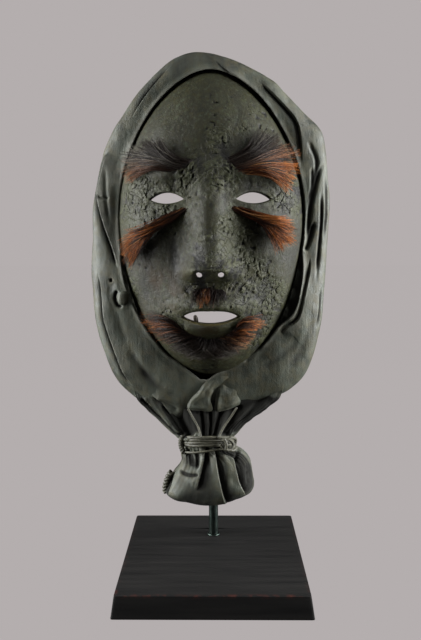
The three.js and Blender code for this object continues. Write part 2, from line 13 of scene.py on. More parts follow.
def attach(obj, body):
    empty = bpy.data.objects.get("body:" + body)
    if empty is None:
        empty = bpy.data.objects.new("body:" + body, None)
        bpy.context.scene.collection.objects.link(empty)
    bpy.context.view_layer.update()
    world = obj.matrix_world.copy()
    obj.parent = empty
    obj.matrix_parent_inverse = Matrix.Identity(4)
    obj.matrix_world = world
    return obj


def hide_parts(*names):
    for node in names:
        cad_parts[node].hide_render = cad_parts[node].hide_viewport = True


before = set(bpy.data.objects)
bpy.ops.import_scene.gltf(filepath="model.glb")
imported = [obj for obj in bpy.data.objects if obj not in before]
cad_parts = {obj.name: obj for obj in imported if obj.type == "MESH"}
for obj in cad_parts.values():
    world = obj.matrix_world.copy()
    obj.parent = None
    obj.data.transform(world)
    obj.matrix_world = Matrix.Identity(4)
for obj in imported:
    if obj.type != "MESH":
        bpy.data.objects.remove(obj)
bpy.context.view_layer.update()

MM = 0.001
SCENE = bpy.context.scene


# ---- numbers, noise and curves -------------------------------------------------------------------
def smooth(low, high, value):
    """0 below low, 1 above high and an even S between them."""
    share = np.clip((value - low) / (high - low), 0, 1)
    return share * share * (3 - 2 * share)


def bell(u, w, spread_u, spread_w):
    return np.exp(-((u / spread_u) ** 2) - (w / spread_w) ** 2)


def lattice(i, j, k, seed):
    """A fixed number from 0 to 1 for each point of a lattice."""
    mixed = (i * 73856093) ^ (j * 19349663) ^ (k * 83492791) ^ (seed * 2654435761)
    mixed = mixed & 0xFFFFFFFF
    mixed = ((mixed ^ (mixed >> 13)) * 1274126177) & 0xFFFFFFFF
    mixed = ((mixed ^ (mixed >> 15)) * 668265263) & 0xFFFFFFFF
    return ((mixed ^ (mixed >> 16)) & 0xFFFF) / 65535


def value_noise(x, y, z, cell, seed):
    """Smooth noise from -1 to 1 with features about one cell across."""
    place = [np.asarray(v, float) / cell for v in (x, y, z)]
    low = [np.floor(v).astype(np.int64) for v in place]
    blend = [(v - f) ** 2 * (3 - 2 * (v - f)) for v, f in zip(place, low)]
    total = 0
    for corner in range(8):
        step = [corner & 1, corner >> 1 & 1, corner >> 2]
        weight = 1
        for b, s in zip(blend, step):
            weight = weight * (b if s else 1 - b)
        total = total + weight * lattice(*[f + s for f, s in zip(low, step)], seed)
    return 2 * total - 1


def fractal(x, y, z, cell, octaves, seed):
    """Noise with finer and weaker copies of itself added."""
    layers = [value_noise(x, y, z, cell / 2**n, seed + n) / 2**n for n in range(octaves)]
    return sum(layers)


def cells(x, z, size, seed):
    """Irregular cells in the X-Z plane: each point's distance to a border, and its cell's own number."""
    i, j = np.floor(x / size).astype(np.int64), np.floor(z / size).astype(np.int64)
    nearest, second = np.full(x.shape, 9.0), np.full(x.shape, 9.0)
    own = np.zeros(x.shape)
    for di in (-1, 0, 1):
        for dj in (-1, 0, 1):
            a, b = i + di, j + dj
            px = (a + lattice(a, b, a * 0 + 1, seed)) * size
            pz = (b + lattice(a, b, a * 0 + 2, seed)) * size
            distance = np.hypot(x - px, z - pz) / size
            closer = distance < nearest
            second = np.where(closer, nearest, np.minimum(second, distance))
            own = np.where(closer, lattice(a, b, a * 0 + 3, seed), own)
            nearest = np.where(closer, distance, nearest)
    return second - nearest, own


def spline(points, steps, closed=False):
    """Points on a smooth curve through the given ones, steps of them between each two."""
    p = np.asarray(points, float)
    count = len(p)
    spans = count if closed else count - 1
    out = []
    for i in range(spans):
        if closed:
            a, b, c, d = (p[(i + n) % count] for n in (-1, 0, 1, 2))
        else:
            b, c = p[i], p[i + 1]
            a = p[i - 1] if i else 2 * b - c
            d = p[i + 2] if i + 2 < count else 2 * c - b
        t = (np.arange(steps) / steps)[:, None]
        square, cube = 2 * a - 5 * b + 4 * c - d, 3 * b - a - 3 * c + d
        out.append(0.5 * (2 * b + (c - a) * t + square * t**2 + cube * t**3))
    if not closed:
        out.append(p[-1:])
    return np.concatenate(out)


def beside(x, z, points):
    """Signed distance to a curve in the X-Z plane, positive on its left, and the share of its length."""
    shape = np.shape(x)
    x, z = np.ravel(x), np.ravel(z)
    starts, ends = points[:-1], points[1:]
    span = ends - starts
    length = np.maximum(np.hypot(*span.T), 1e-6)
    run = np.concatenate([[0], np.cumsum(length)])
    best = np.full(x.shape, 1e9)
    side, share = np.zeros(x.shape), np.zeros(x.shape)
    for (ax, az), (dx, dz), size, before in zip(starts, span, length, run):
        t = np.clip(((x - ax) * dx + (z - az) * dz) / size**2, 0, 1)
        ox, oz = x - ax - t * dx, z - az - t * dz
        distance = np.hypot(ox, oz)
        closer = distance < best
        best = np.where(closer, distance, best)
        side = np.where(closer, np.sign(dx * oz - dz * ox), side)
        share = np.where(closer, (before + t * size) / run[-1], share)
    return (best * side).reshape(shape), share.reshape(shape)


def ends_faded(share, first, last):
    """Fades a fold in over its first part and out over its last."""
    return smooth(0, max(first, 1e-6), share) * smooth(0, max(last, 1e-6), 1 - share)


class Groove:
    """A crease pressed into the hide."""

    def __init__(self, points, depth, width, fade=(0.25, 0.25)):
        self.points, self.depth, self.width, self.fade = spline(points, 6), depth, width, fade

    def at(self, x, z):
        side, share = beside(x, z, self.points)
        return -self.depth * np.exp(-((side / self.width) ** 2)) * ends_faded(share, *self.fade)


class Layer:
    """The edge of a layer of hide. The layer on the curve's left stands over the one on its right."""

    def __init__(self, points, rise, reach, sink, hollow, fade=(0.2, 0.2)):
        self.points, self.fade = spline(points, 6), fade
        self.rise, self.reach, self.sink, self.hollow = rise, reach, sink, hollow

    def at(self, x, z):
        side, share = beside(x, z, self.points)
        edge = smooth(0, 0.8, side)
        over = self.rise * edge * np.exp(-np.maximum(side, 0) / self.reach)
        under = -self.sink * (1 - edge) * np.exp(-np.abs(np.minimum(side, 0)) / self.hollow)
        return (over + under) * ends_faded(share, *self.fade)


def relief_of(folds, x, z):
    return sum(fold.at(x, z) for fold in folds)


# ---- meshes --------------------------------------------------------------------------------------
def turned_out(vertices, groups):
    """The same faces, turned round if they enclose a negative volume."""
    volume = 0
    for group in groups:
        for n in range(1, group.shape[1] - 1):
            a, b, c = (vertices[group[:, m]] for m in (0, n, n + 1))
            volume += np.einsum("ij,ij->i", a, np.cross(b, c)).sum()
    return groups if volume > 0 else [group[:, ::-1] for group in groups]


def make_piece(name, vertices, groups, body, slot, looks, nodes=(), sharp=None, values=None):
    """One closed mesh in the scene. values holds a number for each vertex, by name."""
    vertices = np.asarray(vertices, float).reshape(-1, 3)
    groups = turned_out(vertices, [np.asarray(g, np.int64) for g in groups if len(g)])
    mesh = bpy.data.meshes.new(name)
    mesh.vertices.add(len(vertices))
    mesh.vertices.foreach_set("co", (vertices * MM).astype(np.float32).ravel())
    corners = np.concatenate([g.ravel() for g in groups])
    sizes = np.concatenate([np.full(len(g), g.shape[1]) for g in groups])
    mesh.loops.add(len(corners))
    mesh.loops.foreach_set("vertex_index", corners.astype(np.int32))
    mesh.polygons.add(len(sizes))
    starts = np.concatenate([[0], np.cumsum(sizes)[:-1]])
    mesh.polygons.foreach_set("loop_start", starts.astype(np.int32))
    mesh.update(calc_edges=True)
    mesh.validate()
    mesh.shade_smooth()
    if sharp:
        mesh.set_sharp_from_angle(angle=math.radians(sharp))
    for key, numbers in (values or {}).items():
        layer = mesh.attributes.new(key, "FLOAT", "POINT")
        layer.data.foreach_set("value", np.ravel(numbers).astype(np.float32))
    mesh.materials.append(looks)
    piece = bpy.data.objects.new(name, mesh)
    SCENE.collection.objects.link(piece)
    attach(piece, body)
    if nodes:
        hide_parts(*nodes)
    return piece


def grid_quads(rows, columns, around=True, loops=False):
    """Quads of a grid of vertices stored row by row.

    around joins the last column to the first, and loops the last row to the first.
    """
    i = np.arange(rows if loops else rows - 1)[:, None]
    j = np.arange(columns if around else columns - 1)[None, :]
    below, right = (i + 1) % rows, (j + 1) % columns
    corners = [i * columns + j, i * columns + right, below * columns + right, below * columns + j]
    return np.stack(corners, -1).reshape(-1, 4)


def fan(ring, hub):
    """Triangles from a ring of vertex numbers to one vertex."""
    ring = np.asarray(ring)
    return np.stack([ring, np.roll(ring, -1), np.full(len(ring), hub)], -1)


def skin(rings):
    """A closed skin over rings of equally many points, with a fan at each end."""
    rings = np.asarray(rings, float)
    rows, columns = rings.shape[:2]
    vertices = np.concatenate([rings.reshape(-1, 3), rings[:1].mean(1), rings[-1:].mean(1)])
    first, last = rows * columns, rows * columns + 1
    start = np.arange(columns)
    return vertices, [
        grid_quads(rows, columns),
        fan(start[::-1], first),
        fan(start + (rows - 1) * columns, last),
    ]


def merged(parts):
    """Several (vertices, groups) as one."""
    vertices, groups, count = [], [], 0
    for points, faces in parts:
        vertices.append(np.asarray(points, float).reshape(-1, 3))
        groups.extend(np.asarray(g) + count for g in faces if len(g))
        count += len(vertices[-1])
    return np.concatenate(vertices), groups


def turned(profile, middle, axis="z", sides=72):
    """Rings of points round an axis, one for each (radius, distance along the axis)."""
    turn = 2 * np.pi * np.arange(sides) / sides
    radius, along = (np.asarray(profile, float)[:, n, None] for n in (0, 1))
    cos, sin, flat = radius * np.cos(turn), radius * np.sin(turn), along + 0 * turn
    order = {"y": (cos, flat, sin), "z": (cos, sin, flat)}[axis]
    return np.stack(order, -1) + np.asarray(middle, float)


def lathe(profile, middle, axis="z", sides=72):
    """A turned body, closed by a flat fan at each end of its profile."""
    return skin(turned(profile, middle, axis, sides))


def turned_ring(profile, middle):
    """A turned ring whose profile closes on itself."""
    rings = turned(profile, middle)
    return rings.reshape(-1, 3), [grid_quads(*rings.shape[:2], loops=True)]


def frames_along(path):
    """Unit tangents of a path with two directions square to each, carried along it without twist."""
    tangent = np.gradient(path, axis=0)
    tangent /= np.linalg.norm(tangent, axis=1, keepdims=True)
    side = np.cross(tangent[0], [0.31, 0.52, 0.79])
    side /= np.linalg.norm(side)
    sides = []
    for t in tangent:
        side = side - t * (side @ t)
        side = side / np.linalg.norm(side)
        sides.append(side)
    sides = np.array(sides)
    return tangent, sides, np.cross(tangent, sides)


def tube(path, radius, sides=16):
    """A round rod along a path. radius is one number or one for each point."""
    path = np.asarray(path, float)
    radius = np.broadcast_to(radius, len(path))[:, None, None]
    _, side, up = frames_along(path)
    turn = 2 * np.pi * np.arange(sides) / sides
    around = side[:, None] * np.cos(turn)[None, :, None] + up[:, None] * np.sin(turn)[None, :, None]
    return skin(path[:, None] + radius * around)


def clipped_grid(field):
    """Faces of the cells of a grid where field is below 0, cut along its zero line.

    Returns the cut corners' places in the grid's own arrays, as (first node, second node, share between
    them), the faces by number of corners, and the border's edges.
    """
    rows, columns = field.shape
    inside = field < 0
    number = np.full(field.shape, -1)
    number[inside] = np.arange(inside.sum())
    kept = [(int(a), int(a), 0.0) for a in np.flatnonzero(inside)]
    flat, numbers = field.ravel(), number.ravel()
    i, j = np.meshgrid(np.arange(rows - 1), np.arange(columns - 1), indexing="ij")
    first = i * columns + j
    corners = np.stack([first, first + 1, first + columns + 1, first + columns], -1).reshape(-1, 4)
    state = (flat[corners] < 0).sum(1)
    quads = numbers[corners[state == 4]]
    cuts, faces, border = {}, {3: [], 4: [], 5: [], 6: []}, []

    def cut_at(a, b):
        key = (min(a, b), max(a, b))
        if key not in cuts:
            low, high = key
            share = flat[low] / (flat[low] - flat[high])
            cuts[key] = len(kept)
            kept.append((low, high, float(np.clip(share, 0.06, 0.94))))
        return cuts[key]

    for cell in corners[(state > 0) & (state < 4)]:
        face, crossing = [], []
        for a, b in zip(cell, np.roll(cell, -1)):
            a, b = int(a), int(b)
            if flat[a] < 0:
                face.append(int(numbers[a]))
            if (flat[a] < 0) != (flat[b] < 0):
                face.append(cut_at(a, b))
                crossing.append((face[-1], flat[a] < 0))
        faces[len(face)].append(face)
        if len(crossing) == 2:
            leaving = next(c for c, out in crossing if out)
            entering = next(c for c, out in crossing if not out)
            border.append((leaving, entering))
    rim = [(numbers[j], numbers[j + 1]) for j in range(columns - 1)]
    rim += [(number[i, -1], number[i + 1, -1]) for i in range(rows - 1)]
    rim += [(number[-1, j + 1], number[-1, j]) for j in range(columns - 1)]
    rim += [(number[i + 1, 0], number[i, 0]) for i in range(rows - 1)]
    border += [(int(a), int(b)) for a, b in rim if a >= 0 and b >= 0]
    groups = [quads] + [np.array(f) for f in faces.values() if f]
    return kept, groups, np.array(border)


def sheet_solid(x, z, field, front, back):
    """A solid between two surfaces y = front(x, z) and y = back(x, z), over the cells of a grid below 0."""
    kept, groups, border = clipped_grid(field)
    low, high, share = (np.array(v) for v in zip(*kept))
    px = x.ravel()[low] * (1 - share) + x.ravel()[high] * share
    pz = z.ravel()[low] * (1 - share) + z.ravel()[high] * share
    count = len(px)
    vertices = np.concatenate(
        [np.stack([px, front(px, pz), pz], -1), np.stack([px, back(px, pz), pz], -1)]
    )
    walls = np.stack([border[:, 0], border[:, 1], border[:, 1] + count, border[:, 0] + count], -1)
    turned = [g[:, ::-1] + count for g in groups]
    return vertices, groups + turned + [walls[:, ::-1]]


# ---- materials -----------------------------------------------------------------------------------
class Looks:
    """A node material built a few nodes at a time, with every place in the part's own frame."""

    def __init__(self, name, **shader):
        self.material = bpy.data.materials.new(name)
        self.material.use_nodes = True
        self.tree = self.material.node_tree
        self.shader = self.tree.nodes["Principled BSDF"]
        self.place = self.node("ShaderNodeTexCoord").outputs["Object"]
        for key, value in shader.items():
            self.shader.inputs[key.replace("_", " ")].default_value = value

    def node(self, kind, settings=None, **inputs):
        node = self.tree.nodes.new(kind)
        for key, value in (settings or {}).items():
            setattr(node, key, value)
        for key, value in inputs.items():
            self.put(node.inputs[key.replace("_", " ")], value)
        return node

    def put(self, socket, value):
        if isinstance(value, bpy.types.NodeSocket):
            self.tree.links.new(value, socket)
        else:
            socket.default_value = value

    def noise(self, cell, detail=4, roughness=0.55, place=None):
        """Noise with features about cell millimetres across."""
        return self.node(
            "ShaderNodeTexNoise",
            Vector=place or self.place,
            Scale=1000 / cell,
            Detail=detail,
            Roughness=roughness,
        ).outputs["Fac"]

    def stretched(self, x, y, z):
        """The place scaled along each axis. A small scale draws features out along its axis."""
        return self.node("ShaderNodeMapping", Vector=self.place, Scale=(x, y, z)).outputs[0]

    def warped(self, cell, amount):
        """The place moved about by noise, up to amount millimetres."""
        noise = self.node("ShaderNodeTexNoise", Vector=self.place, Scale=1000 / cell, Detail=3)
        middle = self.node("ShaderNodeVectorMath", {"operation": "SUBTRACT"})
        self.put(middle.inputs[0], noise.outputs["Color"])
        self.put(middle.inputs[1], (0.5, 0.5, 0.5))
        scaled = self.node("ShaderNodeVectorMath", {"operation": "SCALE"})
        self.put(scaled.inputs[0], middle.outputs[0])
        self.put(scaled.inputs["Scale"], 2 * amount * MM)
        moved = self.node("ShaderNodeVectorMath", {"operation": "ADD"})
        self.put(moved.inputs[0], self.place)
        self.put(moved.inputs[1], scaled.outputs[0])
        return moved.outputs[0]

    def borders(self, cell, place=None):
        """Distance to the borders of irregular cells."""
        return self.node(
            "ShaderNodeTexVoronoi",
            {"feature": "DISTANCE_TO_EDGE"},
            Vector=place or self.place,
            Scale=1000 / cell,
        ).outputs["Distance"]

    def spots(self, cell, place=None):
        """Distance to the middles of irregular cells, in cells."""
        return self.node(
            "ShaderNodeTexVoronoi", Vector=place or self.place, Scale=1000 / cell
        ).outputs["Distance"]

    def value(self, name):
        """A number that the mesh carries at each vertex."""
        return self.node("ShaderNodeAttribute", {"attribute_name": name}).outputs["Fac"]

    def ramp(self, fac, *stops):
        """Colours or greys by place along 0 to 1."""
        node = self.node("ShaderNodeValToRGB", Fac=fac)
        elements = node.color_ramp.elements
        while len(elements) < len(stops):
            elements.new(0.5)
        for element, (at, colour) in zip(elements, stops):
            element.position = at
            grey = isinstance(colour, (int, float))
            element.color = (colour, colour, colour, 1) if grey else (*colour, 1)
        return node.outputs["Color"]

    def mix(self, fac, first, second):
        node = self.node("ShaderNodeMix", {"data_type": "RGBA", "clamp_result": True})
        self.put(node.inputs[0], fac)
        for socket, value in ((node.inputs[6], first), (node.inputs[7], second)):
            self.put(socket, value if isinstance(value, bpy.types.NodeSocket) else (*value, 1))
        return node.outputs[2]

    def times(self, first, second):
        node = self.node("ShaderNodeMath", {"operation": "MULTIPLY"})
        self.put(node.inputs[0], first)
        self.put(node.inputs[1], second)
        return node.outputs[0]

    def bump(self, height, distance, strength=1, under=None):
        """Adds relief up to distance millimetres high."""
        node = self.node("ShaderNodeBump", Height=height, Distance=distance * MM, Strength=strength)
        if under:
            self.put(node.inputs["Normal"], under)
        return node.outputs[0]

    def finish(self, colour=None, roughness=None, normal=None):
        for key, value in (("Base Color", colour), ("Roughness", roughness), ("Normal", normal)):
            if value:
                self.put(self.shader.inputs[key], value)
        return self.material


def hide_looks():
    looks = Looks("old_hide", Specular_IOR_Level=0.34)
    mottle = looks.noise(26, 5, 0.6)
    grime = looks.noise(7, 5, 0.65)
    grain = looks.borders(1.5, looks.warped(4, 0.9))
    streak = looks.noise(9, 4, 0.6, place=looks.stretched(1, 1, 0.16))
    base = looks.ramp(
        mottle,
        (0.3, (0.0132, 0.0154, 0.0111)),
        (0.5, (0.031, 0.0359, 0.0266)),
        (0.72, (0.0648, 0.0733, 0.0557)),
    )
    base = looks.mix(looks.ramp(grime, (0.42, 0), (0.7, 0.6)), base, (0.0738, 0.0623, 0.028))
    base = looks.mix(looks.ramp(streak, (0.45, 0), (0.7, 0.45)), base, (0.0886, 0.1028, 0.0805))
    relief = looks.value("relief")
    # Painted shade: where the relief number is low (in creases, beside overlapping layer edges, in the
    # neck's recess and on the flaps' backs) the colour goes nearly black.
    base = looks.mix(looks.ramp(relief, (0.2, 0.96), (0.46, 0)), base, (0.004, 0.004, 0.003))
    # Paler where the relief number is high, on raised folds, the lip's bead and the flaps' rolled rims:
    # partly rubbed wear, partly painted highlight.
    worn = looks.times(looks.ramp(relief, (0.56, 0), (0.95, 1)), looks.ramp(grime, (0.3, 0.25), (0.6, 1)))
    base = looks.mix(worn, base, (0.0921, 0.0945, 0.0771))
    rough = looks.ramp(grime, (0.3, 0.42), (0.7, 0.68))
    rough = looks.mix(looks.ramp(relief, (0.2, 1), (0.45, 0)), rough, (1.037, 1.037, 1.02))
    normal = looks.bump(looks.ramp(grain, (0, 0), (0.12, 1)), 0.10, 0.6)
    normal = looks.bump(looks.noise(1.1, 3, 0.6), 0.16, 0.7, normal)
    normal = looks.bump(streak, 1.3, 0.6, normal)
    normal = looks.bump(grime, 0.8, 0.5, normal)
    return looks.finish(base, rough, normal)


def face_looks():
    looks = Looks("carved_wood", Specular_IOR_Level=0.24)
    mottle = looks.noise(22, 6, 0.62)
    fine = looks.noise(3.2, 5, 0.7)
    speck = looks.noise(1.1, 3, 0.65)
    grain = looks.noise(5, 4, 0.6, place=looks.stretched(1, 1, 0.14))
    crust = looks.value("crust")
    relief = looks.value("relief")
    base = looks.ramp(
        mottle,
        (0.32, (0.008, 0.0086, 0.0033)),
        (0.52, (0.0117, 0.0123, 0.0046)),
        (0.7, (0.0187, 0.0208, 0.0081)),
    )
    base = looks.mix(looks.ramp(grain, (0.4, 0), (0.72, 0.45)), base, (0.0168, 0.0145, 0.0041))
    base = looks.mix(looks.ramp(speck, (0.56, 0), (0.72, 0.55)), base, (0.0317, 0.0328, 0.011))
    base = looks.mix(looks.ramp(fine, (0.28, 0.75), (0.44, 0)), base, (0.0064, 0.0066, 0.0028))
    olive = looks.ramp(looks.noise(3.6, 3, 0.7), (0.5, 0), (0.62, 0.55))
    base = looks.mix(olive, base, (0.0233, 0.021, 0.0033))
    blue = looks.ramp(looks.noise(2.7, 3, 0.7, place=looks.stretched(1, 1, 0.8)), (0.54, 0), (0.66, 0.7))
    base = looks.mix(blue, base, (0.035, 0.0443, 0.0238))
    pits = looks.ramp(looks.spots(4.2, looks.warped(5, 2)), (0.1, 1), (0.2, 0))
    pits = looks.times(pits, looks.ramp(mottle, (0.45, 0), (0.55, 1)))
    base = looks.mix(pits, base, (0.003, 0.003, 0.002))
    red = looks.times(looks.value("red"), looks.ramp(fine, (0.25, 0.25), (0.62, 1)))
    base = looks.mix(red, base, (0.0299, 0.0135, 0.0027))
    pale = looks.times(crust, looks.ramp(speck, (0.4, 0.1), (0.66, 0.85)))
    base = looks.mix(pale, base, (0.0355, 0.0395, 0.0147))
    base = looks.mix(looks.ramp(relief, (0.1, 0.97), (0.42, 0)), base, (0.004, 0.004, 0.003))
    worn = looks.times(looks.value("worn"), looks.ramp(fine, (0.3, 0.4), (0.6, 1)))
    base = looks.mix(worn, base, (0.0617, 0.0501, 0.0137))
    rough = looks.ramp(fine, (0.3, 0.44), (0.7, 0.74))
    crack = looks.ramp(looks.borders(5.2, looks.warped(6, 3)), (0, 0), (0.05, 1))
    crack = looks.mix(crust, (1, 1, 1), crack)
    normal = looks.bump(crack, 0.5, 0.8)
    normal = looks.bump(fine, 0.7, 0.7, normal)
    normal = looks.bump(speck, 0.3, 0.8, normal)
    normal = looks.bump(grain, 0.5, 0.5, normal)
    return looks.finish(base, rough, normal)


def bristle_looks():
    """Bristles by the share of their length, brown, grey or rusty, each a little different. Many, picked at
    random, are made nearly black as painted shade among the strands, and a few rusty ones are made pale as
    a painted highlight.
    """
    looks = Looks("bristles", Specular_IOR_Level=0.12)
    along, own, rust = looks.value("along"), looks.value("own"), looks.value("rust")
    brown = looks.ramp(
        along,
        (0, (0.007, 0.005, 0.004)),
        (0.5, (0.01, 0.008, 0.006)),
        (1, (0.022, 0.018, 0.013)),
    )
    grey = looks.ramp(
        along,
        (0, (0.01, 0.008, 0.007)),
        (0.6, (0.06, 0.054, 0.043)),
        (1, (0.13, 0.12, 0.098)),
    )
    grey_share = looks.times(looks.value("pale"), looks.ramp(own, (0.62, 0), (0.72, 1)))
    brown = looks.mix(grey_share, brown, grey)
    red = looks.ramp(
        along,
        (0, (0.02, 0.006, 0.003)),
        (0.45, (0.055, 0.015, 0.003)),
        (1, (0.26, 0.078, 0.014)),
    )
    # Painted highlight: a few rusty bristles, picked at random, turn pale.
    red = looks.mix(looks.ramp(own, (0.82, 0), (0.94, 0.6)), red, (0.32, 0.17, 0.065))
    colour = looks.mix(rust, brown, red)
    # Painted shade among the strands: many bristles, picked at random, turn nearly black.
    colour = looks.mix(looks.ramp(own, (0.42, 0.97), (0.6, 0)), colour, (0.007, 0.004, 0.003))
    rough = looks.ramp(looks.noise(2, 2), (0.3, 0.36), (0.7, 0.55))
    return looks.finish(colour, rough)


def thong_looks():
    looks = Looks("thong", Specular_IOR_Level=0.45)
    fibre = looks.noise(1.6, 4, 0.6, place=looks.stretched(0.5, 0.5, 1.6))
    base = looks.ramp(
        fibre,
        (0.3, (0.0132, 0.0126, 0.0072)),
        (0.55, (0.045, 0.0438, 0.027)),
        (0.75, (0.102, 0.099, 0.066)),
    )
    rough = looks.ramp(fibre, (0.3, 0.45), (0.7, 0.7))
    return looks.finish(base, rough, looks.bump(fibre, 0.5, 0.8))


def lacquer_looks():
    looks = Looks("black_lacquer", Specular_IOR_Level=0.14)
    grain = looks.noise(5, 5, 0.62, place=looks.stretched(0.07, 1, 1))
    dust = looks.noise(1.4, 3, 0.7)
    wear = looks.times(looks.value("edge"), looks.ramp(looks.noise(9, 4, 0.7), (0.48, 0), (0.66, 0.8)))
    base = looks.ramp(grain, (0.3, (0.0035, 0.0035, 0.0035)), (0.7, (0.0075, 0.0072, 0.0068)))
    base = looks.mix(looks.ramp(dust, (0.64, 0), (0.8, 0.3)), base, (0.035, 0.035, 0.033))
    base = looks.mix(wear, base, (0.05, 0.012, 0.008))
    rough = looks.ramp(grain, (0.3, 0.6), (0.7, 0.7))
    normal = looks.bump(grain, 0.05, 0.4)
    return looks.finish(base, rough, looks.bump(looks.noise(2.5, 3), 0.06, 0.5, normal))


def metal_looks(name, dark, light, roughness, grain=(1, 1, 1), metallic=1.0):
    looks = Looks(name, Metallic=metallic)
    stain = looks.noise(6, 5, 0.65)
    brushed = looks.noise(0.9, 4, 0.6, place=looks.stretched(*grain))
    base = looks.ramp(stain, (0.32, dark), (0.68, light))
    rough = looks.ramp(brushed, (0.3, roughness - 0.08), (0.7, roughness + 0.12))
    return looks.finish(base, rough, looks.bump(brushed, 0.03, 0.5))


def soft_looks(name, dark, light, cell, depth, roughness=0.85):
    looks = Looks(name, Specular_IOR_Level=0.25)
    fibre = looks.noise(cell, 4, 0.7)
    spots = looks.spots(cell * 2.2)
    base = looks.ramp(fibre, (0.3, dark), (0.7, light))
    base = looks.mix(looks.ramp(spots, (0.05, 0.5), (0.3, 0)), base, dark)
    rough = looks.ramp(fibre, (0.3, roughness - 0.1), (0.7, min(1, roughness + 0.1)))
    return looks.finish(base, rough, looks.bump(fibre, depth, 0.8))


HIDE = hide_looks()
CARVED = face_looks()
THONG = thong_looks()
LACQUER = lacquer_looks()
STEEL = metal_looks("blued_steel", (0.016, 0.024, 0.022), (0.05, 0.066, 0.058), 0.36, (1, 1, 0.1))
BRASS = metal_looks("dull_brass", (0.14, 0.1, 0.045), (0.36, 0.26, 0.12), 0.4)
IRON = metal_looks("old_iron", (0.02, 0.018, 0.016), (0.075, 0.062, 0.05), 0.55, metallic=0.8)
FELT = soft_looks("black_felt", (0.002, 0.002, 0.002), (0.022, 0.022, 0.022), 0.8, 0.3, 0.9)
CORK = soft_looks("cork", (0.16, 0.085, 0.04), (0.42, 0.27, 0.15), 1.6, 0.35, 0.8)
NYLON = soft_looks("nylon", (0.5, 0.47, 0.4), (0.66, 0.63, 0.56), 3.0, 0.02, 0.42)
BRISTLES = bristle_looks()


# ---- the carved face -----------------------------------------------------------------------------
MASK_X = -1.0
CHIN_Z = 164.0
CHIN_TO_MIDDLE = 130.0
FACE_MIDDLE_Z = CHIN_Z + CHIN_TO_MIDDLE
FACE_HEIGHT = 246.0
FACE_HALF_WIDTH = 75.0
RIM_Y = 20.5
DOME_DEPTH = 60.0
WALL = 9.0
LEAN = 0.04
BROW_Z = CHIN_Z + FACE_HEIGHT * 2 / 3
NOSE_Z = CHIN_Z + FACE_HEIGHT / 3
MOUTH_Z = NOSE_Z - FACE_HEIGHT / 9
EYE_Z = BROW_Z - 21
EYE_X = 32.0
EYE_SLOT = (13.0, 4.6)
MOUTH_SLOT = (21.0, 5.0)
NOSTRIL = (8.0, NOSE_Z + 5, 2.4)


def face_radius(angle):
    """Distance from the face's middle to its edge: an egg, narrower at the chin."""
    height = np.where(np.sin(angle) > 0, FACE_HEIGHT - CHIN_TO_MIDDLE, CHIN_TO_MIDDLE)
    power = 1.88 - 0.1 * np.sin(angle)
    across = (np.abs(np.cos(angle)) / FACE_HALF_WIDTH) ** power
    return (across + (np.abs(np.sin(angle)) / height) ** power) ** (-1 / power)


def face_share(x, z):
    """0 at the face's middle and 1 at its edge."""
    u, w = x - MASK_X, z - FACE_MIDDLE_Z
    return np.minimum(1, np.hypot(u, w) / face_radius(np.arctan2(w, u)))


def face_depth(u, z):
    """How far the plain carved face stands forward of its rim, u beside its middle line."""
    share = face_share(u + MASK_X, z)
    dome = DOME_DEPTH * np.sqrt(np.maximum(0, 1 - share**2.4))
    side = np.abs(u)
    along = np.clip((BROW_Z - 8 - z) / (BROW_Z - 17 - NOSE_Z), 0, 1)
    ridge = (4 + 18 * along**1.15) * np.exp(-((side / (11 + 5 * along)) ** 2.4))
    relief = ridge * smooth(NOSE_Z - 2, NOSE_Z + 9, z) * smooth(-BROW_Z - 14, 12 - BROW_Z, -z)
    relief += 7 * bell(side - 13, z - NOSE_Z - 8, 6.5, 7.5)
    relief += 5 * bell(side - 32, z - BROW_Z + 0.1 * side - 1, 30, 8)
    relief += -8 * bell(side - EYE_X, z - EYE_Z - 1, 19, 12) + 7 * bell(side - EYE_X, z - EYE_Z, 14, 8)
    relief += 4 * bell(side - 45, z - EYE_Z + 32, 20, 17) - 4 * bell(side - 43, z - MOUTH_Z - 14, 17, 22)
    relief += 7 * bell(u, z - MOUTH_Z - 4, 32, 22)
    relief += 3.4 * (bell(u, z - MOUTH_Z - 8.5, 23, 4) + bell(u, z - MOUTH_Z + 8.5, 20, 4.4))
    relief += 8 * bell(u, z - CHIN_Z - 19, 22, 14) - 3 * bell(u, z - CHIN_Z - 36, 24, 5)
    return dome + relief * (1 - share**8)


def leaning(depth, z):
    """The Y of a point that stands this far forward of the rim, on a face that leans back a little."""
    return RIM_Y - depth + LEAN * (z - FACE_MIDDLE_Z) * np.minimum(1, depth / 20)


def face_front(x, z):
    return leaning(face_depth(x - MASK_X, z), z)


def face_back(x, z):
    u, w = x - MASK_X, z - FACE_MIDDLE_Z
    share = np.minimum(1, np.hypot(u, w) / (face_radius(np.arctan2(w, u)) - WALL))
    dome = (DOME_DEPTH - WALL) * np.sqrt(np.maximum(0, 1 - share**2.4))
    bulge = 8 * bell(u, z - MOUTH_Z - 4, 34, 24) + 8 * bell(u, z - NOSE_Z - 16, 13, 30)
    depth = np.maximum(0, np.minimum(dome + bulge * (1 - share**4), face_depth(u, z) - 4.5))
    return leaning(depth, z)


def eye_slots(x, z):
    """Positive inside either eye slot: about the distance to its edge."""
    half, height = EYE_SLOT
    t = (np.abs(x - MASK_X) - EYE_X + half) / (2 * half)
    swell = 2 * t * (1 - t)
    top = EYE_Z - 1 + swell * (2 * height + 1)
    bottom = EYE_Z - 1 - swell * (1.6 * height - 1)
    return np.minimum(top - z, z - bottom)


